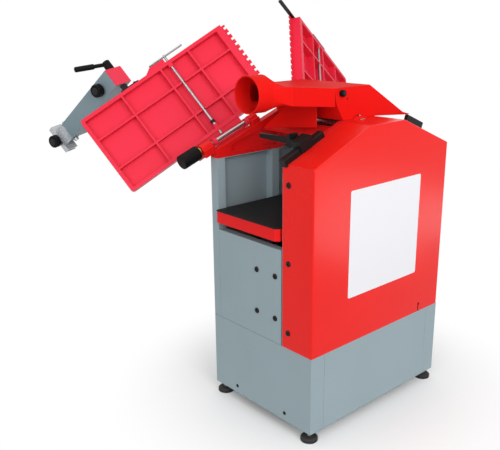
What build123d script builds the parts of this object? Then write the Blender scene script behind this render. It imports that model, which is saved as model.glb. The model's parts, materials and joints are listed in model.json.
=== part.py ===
from build123d import *
import os
from math import atan2, cos, degrees, hypot, radians, sin, tan

# Planer-thicknesser with fold-up tables, in millimetres and degrees.
# Origin: on the floor, under the middle of the stand.
# +X is the planing feed, +Y the side where the tables hinge, +Z up.
# It is modelled in its thicknessing setting: tables folded up, dust hood over the cutterblock.

# Stand and feet
body_length = 590.0
body_depth = 425.0
foot_height = 32.0
stand_height = 239.0
sheet = 2.0
stand_wrap = 54.0
stand_seam = 0.6
stand_flange = 22.0
foot_plate = 62.0
foot_plate_thick = 3.0
deck_thick = 3.0
foot_inset_x = 20.0
foot_inset_y = 23.0
foot_pad_radius = 25.5
foot_pad_height = 13.0
foot_stud_radius = 5.0
foot_stud_reach = 20.0
foot_nut_height = 8.0
wheel_hole_radius = 4.5
wheel_hole_spacing = 214.0
wheel_hole_height = 24.0

# Upper body
wall_height = 508.0
post_width = 30.0
post_lip = 12.0
cover_depth = 115.5
cover_shoulder = 26.0
cover_gable = 90.0
cover_top_half = 77.0
near_wall_thick = 3.0
cover_fit = 0.3
near_wall_flange = 42.0
near_wall_seat = 20.0
panel_rise = 289.0
panel_flange = 24.0
panel_gap = 3.0
body_seam = 1.6
rail_x = (-72.0, -42.0)
panel_screws = ((101.5, 206.5), (24.0, 206.0), (101.5, 77.0), (24.0, 77.0))
cover_screw_rises = (257.0, 48.5)
cover_screw_drop = 29.0
cover_screw_inset = 23.0
screw_radius = 3.0
screw_head_radius = 8.5
screw_head_height = 4.0
screw_fit = 0.2
cover_notch_gap = 2.0
cover_key_x = 195.0
cover_key_width = 5.0
cover_key_height = 24.5
cover_key_radius = 4.5

# Cutterblock
table_rise = 102.0
table_thick = 32.0
cut_radius = 39.0
block_radius = 38.0
knife_count = 3
knife_thick = 3.0
knife_depth = 16.0
gib_thick = 9.0
journal_radius = 10.0
bearing_radius = 23.5
bearing_width = 14.0
run_fit = 0.05
hub_radius = 30.0
hub_stand = 3.0
passage_near_gap = 9.5
passage_far_gap = 5.0
block_end_gap = 1.5

# Base casting
far_cheek_inset = 30.5
far_cheek_thick = 22.0
far_rail_height = 18.0
far_cheek_drop = 8.0
cheek_pocket = 8.0
pocket_rim = 14.0
near_cheek_step = 2.0
near_cheek_thick = 21.0
near_cheek_inset = 27.0
blind_wall = 4.0
rod_end_gap = 1.0
apron_outer_x = -105.0
apron_inner_x = -64.0
apron_drop = 24.0
apron_slope = 31.0
apron_thick = 6.0

# Inclined hinge shafts
hinge_slope = 20.5
hinge_lift = 42.7
shaft_radius = 7.0
outer_boss_radius = 17.0
inner_boss_radius = 13.0
shaft_drop = 16.0
boss_foot = 20.0
outer_boss_start = -49.0
outer_boss_end = -9.0
inner_boss_start = 150.5
inner_boss_end = 181.0
ear_starts = (1.0, 136.0)
ear_length = 13.0
ear_radius = 12.0
ear_ledge = 20.0
infeed_open = 124.7
outfeed_open = 113.2
depth_travel = 8.6

# Depth knob on the end of the infeed shaft
knob_radius = 21.5
knob_length = 64.0
knob_neck_radius = 10.0
knob_neck_length = 9.0
knob_gap = 0.5
knob_bore_depth = 54.0
shaft_tail = 44.0
shaft_tail_radius = 6.0
knob_flutes = 18

# Tables
table_length = 544.3
comb_gap = 21.7
table_free_gap = 5.6
table_hinge_gap = 7.3
table_plate = 8.0
table_rim = 11.0
comb_rim = 21.0
table_rib = 6.0
lip_length = 20.0
lip_thick = 5.0
comb_teeth = 13
comb_slot_width = 8.5
comb_slot_depth = 9.0
long_ribs = (80.0, 184.0)
cross_ribs = (146.0, 291.0, 395.0)
lock_rod_place = 325.0
lock_rod_radius = 4.0
lock_rod_drop = 5.0
lock_rod_out = 3.0
lock_rod_in = 12.0
lock_slot = 10.0
lock_plate_back = 57.0
lock_plate_front = 66.0
lock_plate_height = 13.0
lock_plate_thick = 3.0
infeed_plate_gap = 16.0
outfeed_plate_gap = 0.6
lock_boss_radius = 8.0
lock_hole_past = 20.0
stop_lug_place = 243.0
stop_lug_length = 73.0
stop_lug_out = 13.0
stop_lug_slope = 22.0
strip_length = 150.0
strip_over = 96.0
strip_height = 12.0
strip_thick = 3.5
strip_pad = 1.0

# Guard carrier on the free edge of the infeed table
guard_place = 172.5
guard_bracket_reach = (20.0, 45.0)
guard_bracket_thick = 4.0
guard_spigot_radius = 9.0
guard_spigot_in = 40.0
guard_web_half = 9.0
guard_web_gap = 6.0
guard_web_drop = 24.0
guard_stand_off = 24.0
guard_pivot_rise = 35.0
guard_stud_radius = 6.0
guard_side_fit = 0.25
guard_plug_end = 46.0
guard_cap_thick = 2.0
arm_wall = 2.25
arm_width = 58.0
arm_below = 42.0
arm_above = 28.0
arm_start = -14.0
arm_length = 272.0
arm_tilt = 47.5
arm_bolt_out = 6.0
arm_bolt_up = -24.0
arm_bolt_radius = 4.0
arm_lug_radius = 14.0
arm_knob_place = 43.0
arm_knob_radius = 20.0
arm_knob_height = 22.0
arm_knob_flutes = 12
knob_stem_radius = 6.0
knob_stem_length = 8.0
knob_stem_show = 6.0
lever_hub_radius = 13.0
lever_hub_length = 34.0
lever_length = 100.0
lever_rise = 25.0
lever_radius = 6.0
lever_grip_radius = 8.5
lever_grip_start = 38.0
holder_plate = 18.0
holder_front = 5.0
holder_back = 4.0
holder_floor = 8.0
holder_knob_height = 20.0
holder_height = 44.0
holder_up = -42.0
holder_near = 41.0
holder_far = 51.0
holder_gap = 26.0
holder_tongue = 24.0
holder_knob_off = 5.0

# Dust hood
hood_wall = 3.0
hood_near_over = 6.0
hood_far_gap = 14.0
hood_seat = 0.3
hood_height = 93.0
hood_foot_x = -62.0
hood_lip_x = -92.0
hood_lip_rise = 49.0
hood_roof_x = 48.0
hood_knee_x = 212.0
hood_knee_rise = -1.0
hood_toe_x = 243.0
hood_toe_rise = -9.0
hood_toe_thick = 2.5
hood_toe_solid = 38.0
hood_sole_x = 80.0
hood_sole = 4.5
hood_mouth_x = -99.0
hood_mouth_out = 2.0
hood_mouth_in = 20.0
hood_mouth_sill = 10.0
hood_duct_rise = 42.0
duct_shoulder_x = -262.0
duct_shoulder_near = 3.0
duct_shoulder_width = 152.0
duct_shoulder_rise = 58.5
duct_shoulder_height = 49.5
hood_arch_fit = 2.0
hood_far_clear = 4.0
hood_skirt_x = -120.0
hood_skirt_near = 49.0
hood_skirt_length = 106.0
hood_skirt_toe_gap = 2.0
hood_skirt_top = 47.0
hood_skirt_drop = 17.0
hood_skirt_toe_drop = 41.4
hood_hole_x = -47.0
hood_hole_rise = 60.0
hood_hole_radius = 3.0
port_radius = 50.0
port_length = 52.0
port_x = -352.0
port_near = 81.0
port_rise = 89.0
hood_knob_x = -74.0
hood_knob_rise = 78.0
hood_knob_radius = 9.5
hood_knob_length = 12.0

# Guide bars, shoe and lever on the near cheek
bar_side = 22.0
bar_rise = 6.0
bar_fit = 0.1
bar_inset = -10.0
bar_span = 149.0
shoe_inset = 70.0
shoe_length = 48.0
shoe_width = 34.0
shoe_height = 30.0
catch_width = 34.0
catch_reach = 24.0
catch_gap = 5.0
shoe_lever_length = 120.0
shoe_lever_height = 18.0
shoe_lever_tip = 12.0
shoe_lever_rise = 4.0
shoe_lever_width = 12.0
lever_gap = 0.3
lever_lug = 5.0
lever_pin_radius = 3.0
rest_block_inset = 58.0
rest_block_length = 85.0
rest_block_height = 39.0
rest_block_off = 5.0
rest_block_width = 12.0

# Thicknessing table and its lift
thick_rise = 354.0
thick_plate = 4.0
tray_height = 36.0
tray_wall = 7.0
tray_half = 305.0
plate_overhang = 2.0
tray_chamfer = 10.0
screw_shank_radius = 9.0
screw_groove = 1.0
screw_groove_pitch = 12.0
screw_groove_start = 45.0
screw_groove_width = 4.0
screw_plain_top = 15.0
screw_end_gap = 0.3
screw_top_drop = 35.0
lift_tube_radius = 22.0
lift_tube_wall = 4.0
lift_tube_rise = 87.0
lift_nut_height = 26.0
column_radius = 12.5
column_drop = 151.0
column_spread = 75.0
sleeve_radius = 20.0
sleeve_rise = 149.0
sleeve_drop = 31.0
sleeve_flange = 32.0
sleeve_flange_thick = 8.0
thrust_radius = 30.0
thrust_height = 19.0
thrust_floor = 4.0
crank_height = 41.0
crank_radius = 7.0
bevel_radius = 21.5
bevel_inner = 11.0
bevel_gap = 0.4
crank_block_x = 60.0
crank_block_length = 20.0
crank_block_width = 34.0
crank_block_rise = 14.0
wheel_radius = 70.0
wheel_rim_radius = 8.0
wheel_hub_radius = 16.0
wheel_gap = 6.0
wheel_hub_length = 26.0
grip_radius = 11.0
grip_length = 56.0

# Feed rollers and kickback fingers
roller_radius = 16.0
roller_x = 62.0
roller_drop = 1.0
roller_shaft_radius = 8.0
roller_ribs = 24
roller_rib_depth = 1.2
sprocket_radius = 20.0
sprocket_thick = 5.0
sprocket_gap = 2.0
chain_thick = 5.0
chain_fit = 0.3
chain_spacing = 1.5
gearbox_x = 0.0
gearbox_drop = 89.0
gearbox_length = 96.0
gearbox_height = 110.0
finger_rod_x = 115.0
finger_rod_drop = 6.0
finger_rod_radius = 6.0
finger_count = 18
finger_thick = 8.0
finger_head_radius = 12.0
finger_tip_drop = 0.5
finger_tip_back = 14.0
finger_tip_width = 8.0

# Motor and belt
motor_x = 170.0
motor_rise = 121.0
motor_radius = 62.0
motor_length = 220.0
motor_flange_radius = 74.0
motor_flange_thick = 10.0
motor_fins = 20
motor_fin_depth = 5.0
motor_fin_start = 12.0
motor_fin_stop = 40.0
motor_fin_gap = 6.0
motor_bore_depth = 40.0
motor_shaft_end = 4.0
motor_shaft_radius = 11.0
motor_pulley_radius = 48.0
cutter_pulley_radius = 15.0
pulley_width = 28.0
pulley_gap = 12.0
belt_thick = 2.4
belt_fit = 0.3

# Switch on the rear panel
switch_inset = 97.5
switch_rise = 219.0
switch_width = 80.0
switch_height = 100.0
switch_depth = 48.0
button_radius = 13.0
button_stand = 7.0
button_depth = 12.0
button_fit = 0.3
button_spread = 22.0
gland_radius = 10.0
gland_length = 18.0

# Heights and places that follow from the sizes above
stand_top = foot_height + stand_height
wall_top = stand_top + wall_height
half_length = body_length / 2
half_depth = body_depth / 2
shoulder_z = wall_top + cover_shoulder
cover_top = shoulder_z + cover_gable
cover_edge = cover_depth - half_depth
cover_slope = degrees(atan2(cover_top - shoulder_z, half_length - cover_top_half))
table_under = wall_top + table_rise
table_top = table_under + table_thick
cutter_z = table_top - cut_radius
near_cheek_inner = cover_edge + near_cheek_step
far_cheek_inner = half_depth - far_cheek_inset
passage_near = near_cheek_inner + passage_near_gap
passage_far = far_cheek_inner - passage_far_gap
passage_middle = (passage_near + passage_far) / 2
near_cheek_outer = near_cheek_inner - near_cheek_thick
far_cheek_outer = far_cheek_inner + far_cheek_thick
hinge_y = far_cheek_outer
table_free = near_cheek_inner + table_free_gap
table_hinge_edge = far_cheek_inner - table_hinge_gap
table_width = table_hinge_edge - table_free
cover_screw_y = cover_edge - cover_screw_inset
hood_near = near_cheek_inner - hood_near_over
hood_far = far_cheek_inner - hood_far_gap
duct_shoulder_y = (hood_near + duct_shoulder_near, hood_near + duct_shoulder_near + duct_shoulder_width)
port_y = hood_near + port_near
switch_y = half_depth - switch_inset
crank_z = stand_top + crank_height
pulley_near = near_cheek_outer - hub_stand - pulley_gap - pulley_width
pulley_far = pulley_near + pulley_width
roller_z = cutter_z - cut_radius - roller_drop + roller_radius
thick_top = stand_top + thick_rise
tray_top = thick_top - thick_plate
tray_low = tray_top - tray_height
bar_y = (near_cheek_inner + near_cheek_outer) / 2
far_cheek_flat = table_top - far_cheek_drop
near_cheek_half = half_length - near_cheek_inset
apron_low = cutter_z - apron_drop
hinge_rise = wall_top + hinge_lift
hood_low = cover_top + hood_seat
hood_top = cover_top + hood_height
hood_shell_far = hood_far - hood_wall
hood_knee_z = cover_top + hood_knee_rise
hood_lip_z = cover_top + hood_lip_rise
hood_toe_z = cover_top + hood_toe_rise
hood_toe_low = hood_toe_z - hood_toe_thick
hood_outline = ((hood_mouth_x, hood_top), (hood_roof_x, hood_top), (hood_knee_x, hood_knee_z),
                (hood_toe_x, hood_toe_z), (hood_toe_x, hood_toe_low), (hood_sole_x, hood_low),
                (hood_foot_x, hood_low), (hood_lip_x, hood_lip_z))
hood_duct_low = cover_top + hood_duct_rise
skirt_near = hood_near + hood_skirt_near
skirt_top = cover_top + hood_skirt_top
hood_skirt_outline = ((skirt_near, skirt_top), (skirt_near, cover_top - hood_skirt_drop),
                      (hood_far - hood_skirt_toe_gap, cover_top - hood_skirt_toe_drop),
                      (skirt_near + hood_skirt_length, skirt_top))
duct_shoulder_low = cover_top + duct_shoulder_rise
duct_shoulder_z = (duct_shoulder_low, duct_shoulder_low + duct_shoulder_height)
port_z = cover_top + port_rise
hood_knob_z = cover_top + hood_knob_rise
bar_outer = half_length - bar_inset
bar_inner = bar_outer - bar_span
shoe_place = half_length - shoe_inset
catch_top = table_under - catch_gap
rest_block_place = half_length - rest_block_inset
screw_top = thick_top - screw_top_drop
lift_tube_bottom = stand_top + lift_tube_rise
column_bottom = stand_top - column_drop
sleeve_top = stand_top + sleeve_rise
sleeve_bottom = stand_top - sleeve_drop
gearbox_z = wall_top - gearbox_drop
finger_rod_z = cutter_z - finger_rod_drop
finger_tip_z = cutter_z - cut_radius - finger_tip_drop
motor_z = stand_top + motor_rise
switch_z = stand_top + switch_rise


def block(x, y, z):
    """A box between two limits on each axis."""
    size = (x[1] - x[0], y[1] - y[0], z[1] - z[0])
    middle = Pos((x[0] + x[1]) / 2, (y[0] + y[1]) / 2, (z[0] + z[1]) / 2)
    return middle * Box(*size)


def rod(start, direction, radius, length, top_radius=None):
    """A round bar, or a cone when it has a top radius, from a point along a direction."""
    across = (0, 1, 0) if abs(direction[1]) < 0.9 else (1, 0, 0)
    place = Plane(origin=start, x_dir=across, z_dir=direction)
    low = (Align.CENTER, Align.CENTER, Align.MIN)
    if top_radius is None:
        return place * Cylinder(radius, length, align=low)
    return place * Cone(radius, top_radius, length, align=low)


def rod_y(x, z, radius, y):
    return rod((x, y[0], z), (0, 1, 0), radius, y[1] - y[0])


def slab(outline, y):
    """An outline of X and Z points, standing between two Y limits."""
    face = make_face(Polyline(*outline, close=True))
    return extrude(Plane.XZ.offset(-y[1]) * face, amount=y[1] - y[0])


def both_ends(shape):
    """A piece and its mirror image on the other end of the machine."""
    return [shape, mirror(shape, about=Plane.YZ)]


def save(name, *solids):
    shape = solids[0] if len(solids) == 1 else Compound(children=list(solids))
    export_step(shape, f"parts/{name}.step")


os.makedirs("parts", exist_ok=True)


# Stand: two end panels that wrap the corners, two side panels, a deck and four feet
def stand_end_panel():
    z = (foot_height, stand_top)
    panel = block((-half_length, -half_length + sheet), (-half_depth, half_depth), z)
    for side in (-1, 1):
        outer = sorted((side * half_depth, side * (half_depth - sheet)))
        panel += block((-half_length, -half_length + stand_wrap), outer, z)
        corner = sorted((side * (half_depth - sheet), side * (half_depth - foot_plate)))
        floor = (foot_height, foot_height + foot_plate_thick)
        panel += block((-half_length, -half_length + foot_plate), corner, floor)
        foot_y = side * (half_depth - foot_inset_y)
        panel -= rod((-half_length + foot_inset_x, foot_y, foot_height - 1), (0, 0, 1),
                     foot_stud_radius, foot_plate_thick + 2)
    return panel


def wheel_holes():
    height = foot_height + wheel_hole_height
    start = -half_length - 1
    ys = (-wheel_hole_spacing / 2, wheel_hole_spacing / 2)
    holes = [rod((start, y, height), (1, 0, 0), wheel_hole_radius, sheet + 2) for y in ys]
    return holes[0] + holes[1]


def stand_side_panel():
    reach = half_length - stand_wrap - stand_seam
    z = (foot_height, stand_top)
    panel = block((-reach, reach), (-half_depth, -half_depth + sheet), z)
    inside = (-half_depth, -half_depth + stand_flange)
    clear = half_length - foot_plate - stand_seam
    panel += block((-clear, clear), inside, (foot_height, foot_height + sheet))
    panel += block((-clear, clear), inside, (stand_top - deck_thick - sheet, stand_top - deck_thick))
    return panel


front_end, rear_end = both_ends(stand_end_panel())
save("stand_front_panel", front_end - wheel_holes())
save("stand_rear_panel", rear_end)
near_side = stand_side_panel()
save("stand_side_panels", near_side, mirror(near_side, about=Plane.XZ))

deck_x = half_length - sheet
deck_y = half_depth - sheet
deck = block((-deck_x, deck_x), (-deck_y, deck_y), (stand_top - deck_thick, stand_top))
column_ys = (passage_middle - column_spread, passage_middle + column_spread)
for y in column_ys:
    deck -= rod((0, y, stand_top - deck_thick - 1), (0, 0, 1), sleeve_radius, deck_thick + 2)
save("stand_deck", deck)

foot_places = [(x, y) for x in (-half_length + foot_inset_x, half_length - foot_inset_x)
               for y in (-half_depth + foot_inset_y, half_depth - foot_inset_y)]
pads = []
studs = []
for x, y in foot_places:
    pad = rod((x, y, 0), (0, 0, 1), foot_pad_radius, foot_pad_height)
    pads.append(chamfer(pad.edges().sort_by(Axis.Z)[-1], foot_pad_height / 3))
    stud_length = foot_height - foot_pad_height + foot_stud_reach
    stud = rod((x, y, foot_pad_height), (0, 0, 1), foot_stud_radius, stud_length)
    nut = Pos(x, y, foot_height - foot_nut_height) * extrude(RegularPolygon(2 * foot_stud_radius, 6),
                                                             foot_nut_height)
    studs.append(stud + nut)
save("foot_pads", *pads)
save("foot_studs", *studs)


# Upper body: far wall with folded end posts, drive wall, lower panels
def far_wall():
    z = (stand_top, wall_top)
    skin_inner = half_depth - sheet
    post_inner = half_depth - post_width
    wall = block((-half_length, half_length), (skin_inner, half_depth), z)
    post = block((-half_length, -half_length + sheet), (post_inner, skin_inner), z)
    post += block((-half_length, -half_length + post_width), (post_inner, post_inner + sheet), z)
    lip_x = (-half_length + post_width - sheet, -half_length + post_width)
    post += block(lip_x, (post_inner, post_inner + post_lip), z)
    post += block(rail_x, (post_inner, post_inner + sheet), z)
    for x in (rail_x[0], rail_x[1] - sheet):
        post += block((x, x + sheet), (post_inner, half_depth - 1), z)
    post -= block((-half_length - 1, -half_length + sheet / 2), (post_inner - 1, half_depth),
                  (stand_top - 1, stand_top + body_seam))
    for end in both_ends(post):
        wall += end
    cap = (wall_top - sheet, wall_top)
    wall += block((-half_length + sheet, half_length - sheet), (post_inner, skin_inner), cap)
    return wall


def near_wall():
    reach = half_length - sheet - cover_fit
    inner = cover_edge + near_wall_thick
    z = (stand_top, wall_top)
    wall = block((-reach, reach), (cover_edge, inner), z)
    flange_y = (cover_edge - near_wall_flange, cover_edge)
    for end in both_ends(block((-reach, -reach + near_wall_thick), flange_y, z)):
        wall += end
    seat_y = (cover_edge - near_wall_seat, cover_edge)
    wall += block((-reach, reach), seat_y, (wall_top - near_wall_thick, wall_top))
    wall += block((-reach, reach), seat_y, (stand_top, stand_top + near_wall_thick))
    wall -= rod_y(motor_x, motor_z, motor_shaft_radius + 6, (cover_edge - 1, inner + 1))
    return wall


panel_near = cover_edge + near_wall_thick + panel_gap
panel_far = half_depth - post_width - stand_seam
panel_top = stand_top + panel_rise
panel_screw_places = [(panel_near + y, stand_top + rise) for y, rise in panel_screws]
cover_screw_heights = [wall_top - cover_screw_drop] + [stand_top + rise for rise in cover_screw_rises]


def lower_panel():
    z = (stand_top, panel_top)
    panel = block((-half_length, -half_length + sheet), (panel_near, panel_far), z)
    fold_x = (-half_length, -half_length + panel_flange)
    panel += block(fold_x, (panel_near, panel_far), (panel_top - sheet, panel_top))
    panel += block(fold_x, (panel_near, panel_near + sheet), z)
    panel += block(fold_x, (panel_far - sheet, panel_far), z)
    panel += block(fold_x, (panel_near, panel_far), (stand_top, stand_top + sheet))
    panel -= block((-half_length - 1, -half_length + sheet / 2), (panel_near - 1, panel_far + 1),
                   (stand_top - 1, stand_top + body_seam))
    for y, height in panel_screw_places:
        panel -= rod((-half_length - 1, y, height), (1, 0, 0), screw_radius + screw_fit, sheet + 2)
    return panel


def screw(y, height):
    """A button-head screw through a wall on the -X end."""
    head = rod((-half_length, y, height), (-1, 0, 0), screw_head_radius, screw_head_height)
    head = fillet(head.edges().sort_by(Axis.X)[0], screw_head_height * 0.6)
    return head + rod((-half_length, y, height), (1, 0, 0), screw_radius, sheet + near_wall_thick + 8)


save("far_wall", far_wall())
front_panel, rear_panel = both_ends(lower_panel())
crank_hole = rod((half_length - panel_flange, passage_middle, crank_z), (1, 0, 0),
                 crank_radius + run_fit, panel_flange + 1)
save("front_panel", front_panel)
save("rear_panel", rear_panel - crank_hole)

screws = []
for y, height in panel_screw_places:
    screws += both_ends(screw(y, height))
cover_screws = []
for height in cover_screw_heights:
    cover_screws += both_ends(screw(cover_screw_y, height))
save("body_screws", *screws, *cover_screws)


# Drive cover: a gabled shell, open to the drive wall and below
def cover_line(x):
    """Height of the cover's top over a place along X."""
    run = min(half_length - abs(x), half_length - cover_top_half)
    return shoulder_z + run * tan(radians(cover_slope))


def bar_axis_start():
    """Lower end of the near guide bar, on the infeed side."""
    height = cover_line(bar_outer) + bar_rise / cos(radians(cover_slope))
    return (-bar_outer, bar_y, height)


bar_run = (cos(radians(cover_slope)), 0.0, sin(radians(cover_slope)))
bar_length = (bar_outer - bar_inner) / cos(radians(cover_slope))
bar_plane = Plane(origin=bar_axis_start(), x_dir=(0, 1, 0), z_dir=bar_run)


def guide_bar(fit):
    """The square guide bar of the infeed side, larger by a fit where it is cut from something."""
    half = bar_side / 2 + fit
    return bar_plane * block((-half, half), (-half, half), (0, bar_length))


def drive_cover():
    outline = [(-half_length, stand_top), (half_length, stand_top), (half_length, shoulder_z),
               (cover_top_half, cover_top), (-cover_top_half, cover_top), (-half_length, shoulder_z)]
    shell = slab(outline, (-half_depth, cover_edge))
    front_edges = shell.edges().filter_by_position(Axis.Y, -half_depth - 1, -half_depth + 1)
    shell = fillet(front_edges.filter_by(lambda e: e.center().Z > stand_top + 1), sheet + 1)
    drop = sheet / cos(radians(cover_slope))
    shift = sheet * tan(radians(cover_slope) / 2)
    hollow = [(-half_length + sheet, stand_top - 1), (half_length - sheet, stand_top - 1),
              (half_length - sheet, shoulder_z - drop + sheet * tan(radians(cover_slope))),
              (cover_top_half - shift, cover_top - sheet), (-cover_top_half + shift, cover_top - sheet),
              (-half_length + sheet, shoulder_z - drop + sheet * tan(radians(cover_slope)))]
    shell -= slab(hollow, (-half_depth + sheet, cover_edge + 1))
    notch_y = (near_cheek_outer - 1, cover_edge + 1)
    notch = near_cheek_half + cover_notch_gap
    shell -= block((-notch, notch), notch_y, (shoulder_z - sheet - 8, cover_top + 1))
    shell -= rod_y(0, cutter_z, hub_radius + 1, (near_cheek_outer - hub_stand - 1, cover_edge + 1))
    for end in both_ends(guide_bar(bar_fit)):
        shell -= end
    key_x = (cover_key_x - cover_key_width / 2, cover_key_x + cover_key_width / 2)
    shell -= block(key_x, (-half_depth - 1, -half_depth + sheet + 1),
                   (stand_top - 1, stand_top + cover_key_height))
    shell -= rod_y(cover_key_x, stand_top + cover_key_height, cover_key_radius,
                   (-half_depth - 1, -half_depth + sheet + 1))
    return shell


cover = drive_cover()
wall = near_wall()
for bolt in cover_screws:
    y, height = bolt.center().Y, bolt.center().Z
    through = rod((-half_length - 1, y, height), (1, 0, 0), screw_radius + screw_fit, body_length + 2)
    cover -= through
    wall -= through
save("drive_cover", cover)
save("near_wall", wall)

# Hinge line of the infeed side, rising towards the cutterblock
slope_run = (cos(radians(hinge_slope)), 0.0, sin(radians(hinge_slope)))
hinge_point = (-half_length, hinge_y, hinge_rise)


def on_hinge(along):
    """A point on the infeed hinge line, so far from the end of the body."""
    return tuple(p + along * d for p, d in zip(hinge_point, slope_run))


def hinge_plane(along):
    """Across the hinge line: local x is +Y, local y square to the line and up."""
    return Plane(origin=on_hinge(along), x_dir=(0, 1, 0), z_dir=slope_run)


def hinge_bar(radius, start, end):
    return rod(on_hinge(start), slope_run, radius, end - start)


def hinge_height(x):
    return hinge_rise + (half_length - abs(x)) * tan(radians(hinge_slope))


# Base casting: far cheek with shaft bosses, near cheek with bar grooves, apron between them
def shaft_boss(radius, start, end):
    boss = hinge_bar(radius, start, end)
    foot = hinge_plane(start) * Pos(-(hinge_y - far_cheek_inner) / 2, -shaft_drop / 2 - 1, (end - start) / 2)
    return boss + foot * Box(hinge_y - far_cheek_inner - 2, shaft_drop + 4, end - start)


def outer_boss_foot():
    """A low bracket that carries the outer boss beyond the end of the cheek."""
    x = (far_cheek_inner + 1 - hinge_y, -ear_radius / 2 - 1)
    y = (-shaft_drop - 5, -ear_radius - 1)
    return hinge_plane(outer_boss_start) * block(x, y, (0, boss_foot - outer_boss_start))


def far_cheek():
    end_z = hinge_height(half_length) - shaft_drop / cos(radians(hinge_slope))
    flat_x = half_length - (far_cheek_flat - end_z) / tan(radians(hinge_slope))
    outline = [(-half_length, wall_top), (half_length, wall_top), (half_length, end_z),
               (flat_x, far_cheek_flat), (-flat_x, far_cheek_flat), (-half_length, end_z)]
    cheek = slab(outline, (far_cheek_inner, far_cheek_outer))
    cheek += block((-half_length, half_length), (far_cheek_inner, half_depth),
                   (wall_top, wall_top + far_rail_height))
    pocket_end = half_length - 4 * pocket_rim
    pocket_in = hub_radius + pocket_rim
    low = wall_top + pocket_rim
    rise = end_z - pocket_rim
    pocket = slab([(-pocket_end, low), (-pocket_in, low),
                   (-pocket_in, rise + (half_length - pocket_in) * tan(radians(hinge_slope)) - pocket_rim),
                   (-pocket_end, rise + (half_length - pocket_end) * tan(radians(hinge_slope)))],
                  (far_cheek_inner - 1, far_cheek_inner + cheek_pocket))
    for end in both_ends(pocket):
        cheek -= end
    bosses = shaft_boss(outer_boss_radius, outer_boss_start, outer_boss_end) + outer_boss_foot()
    bosses += shaft_boss(inner_boss_radius, inner_boss_start, inner_boss_end)
    for end in both_ends(bosses):
        cheek += end
    cheek += rod_y(0, cutter_z, hub_radius, (far_cheek_inner - 1, far_cheek_outer + hub_stand))
    return cheek


def near_cheek():
    end_z = cover_line(near_cheek_half)
    outline = [(-near_cheek_half, wall_top), (near_cheek_half, wall_top), (near_cheek_half, end_z),
               (cover_top_half, cover_top), (-cover_top_half, cover_top), (-near_cheek_half, end_z)]
    cheek = slab(outline, (near_cheek_outer, near_cheek_inner))
    cheek += rod_y(0, cutter_z, hub_radius, (near_cheek_outer - hub_stand, near_cheek_inner))
    for end in both_ends(guide_bar(bar_fit)):
        cheek -= end
    return cheek


def apron():
    rise = tan(radians(apron_slope))
    high = apron_low + (apron_inner_x - apron_outer_x) * rise
    drop = apron_thick / cos(radians(apron_slope))
    outline = [(apron_outer_x, apron_low), (apron_inner_x, high),
               (apron_inner_x, high - drop), (apron_outer_x, apron_low - drop)]
    return slab(outline, (near_cheek_inner - 1, far_cheek_inner + cheek_pocket + 1))


def base_casting():
    casting = far_cheek() + near_cheek() + apron()
    for end in both_ends(hinge_bar(shaft_radius + run_fit, outer_boss_start - 1, inner_boss_end + 1)):
        casting -= end
    span = (near_cheek_outer - hub_stand - 1, far_cheek_outer + hub_stand + 1)
    casting -= rod_y(0, cutter_z, bearing_radius, span)
    for x in (-roller_x, roller_x):
        casting -= rod_y(x, roller_z, roller_shaft_radius + run_fit, (span[0], far_cheek_outer - blind_wall))
    rod_span = (near_cheek_outer + blind_wall, far_cheek_outer - blind_wall)
    casting -= rod_y(finger_rod_x, finger_rod_z, finger_rod_radius, rod_span)
    return casting


save("base_casting", base_casting())


# Cutterblock, knives, bearings and pulley
def around_cutter(shape, index):
    return shape.rotate(Axis((0, 0, cutter_z), (0, 1, 0)), index * 360 / knife_count)


block_y = (passage_near + block_end_gap, passage_far - block_end_gap)
slot_low = cutter_z + cut_radius - knife_depth
knife = block((0, knife_thick), block_y, (slot_low, cutter_z + cut_radius))
knife = knife - block((knife_thick, 3 * knife_thick), block_y, (slot_low, cutter_z + cut_radius))
knife = chamfer(knife.edges().filter_by(Axis.Y).sort_by(Axis.Z)[-2:].sort_by(Axis.X)[-1:], knife_thick * 0.6)
slot_y = (block_y[0] - 1, block_y[1] + 1)
slot = block((0, knife_thick + gib_thick), slot_y, (slot_low, cutter_z + cut_radius + 1))
gib_top = cutter_z + block_radius - 3
gib = block((knife_thick, knife_thick + gib_thick), block_y, (slot_low, gib_top))
cutter = rod_y(0, cutter_z, block_radius, block_y)
for index in range(knife_count):
    cutter -= around_cutter(slot, index)
bearing_near = (near_cheek_outer - hub_stand, near_cheek_outer - hub_stand + bearing_width)
bearing_far = (far_cheek_outer + hub_stand - bearing_width, far_cheek_outer + hub_stand)
cutter += rod_y(0, cutter_z, journal_radius, (pulley_near, bearing_far[1]))
save("cutterblock", cutter, *[around_cutter(gib, index) for index in range(knife_count)])
save("cutter_knives", *[around_cutter(knife, index) for index in range(knife_count)])


def bearing(y):
    ring = rod_y(0, cutter_z, bearing_radius, y) - rod_y(0, cutter_z, journal_radius + run_fit, y)
    groove = rod_y(0, cutter_z, bearing_radius - 4, (y[0] - 1, y[0] + 1.5))
    return ring - (groove - rod_y(0, cutter_z, journal_radius + 4, (y[0] - 1, y[0] + 1.5)))


save("cutter_bearings", bearing(bearing_near), bearing(bearing_far))


def grooved_pulley(x, z, radius, bore):
    pulley = rod_y(x, z, radius, (pulley_near, pulley_far))
    for side in (pulley_near, pulley_far - sheet):
        pulley += rod_y(x, z, radius + belt_fit, (side, side + sheet))
    return pulley - rod_y(x, z, bore, (pulley_near - 1, pulley_far + 1))


def loop_band(circles, gap, thick, y):
    """A belt or chain drawn tight round circles of X, Z and radius."""
    def hull(extra):
        edges = ShapeList()
        for x, z, radius in circles:
            edges += (Pos(x, z) * Circle(radius + extra)).edges()
        return extrude(Plane.XZ.offset(-y[1]) * make_hull(edges), amount=y[1] - y[0])
    return hull(gap + thick) - hull(gap)


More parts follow.
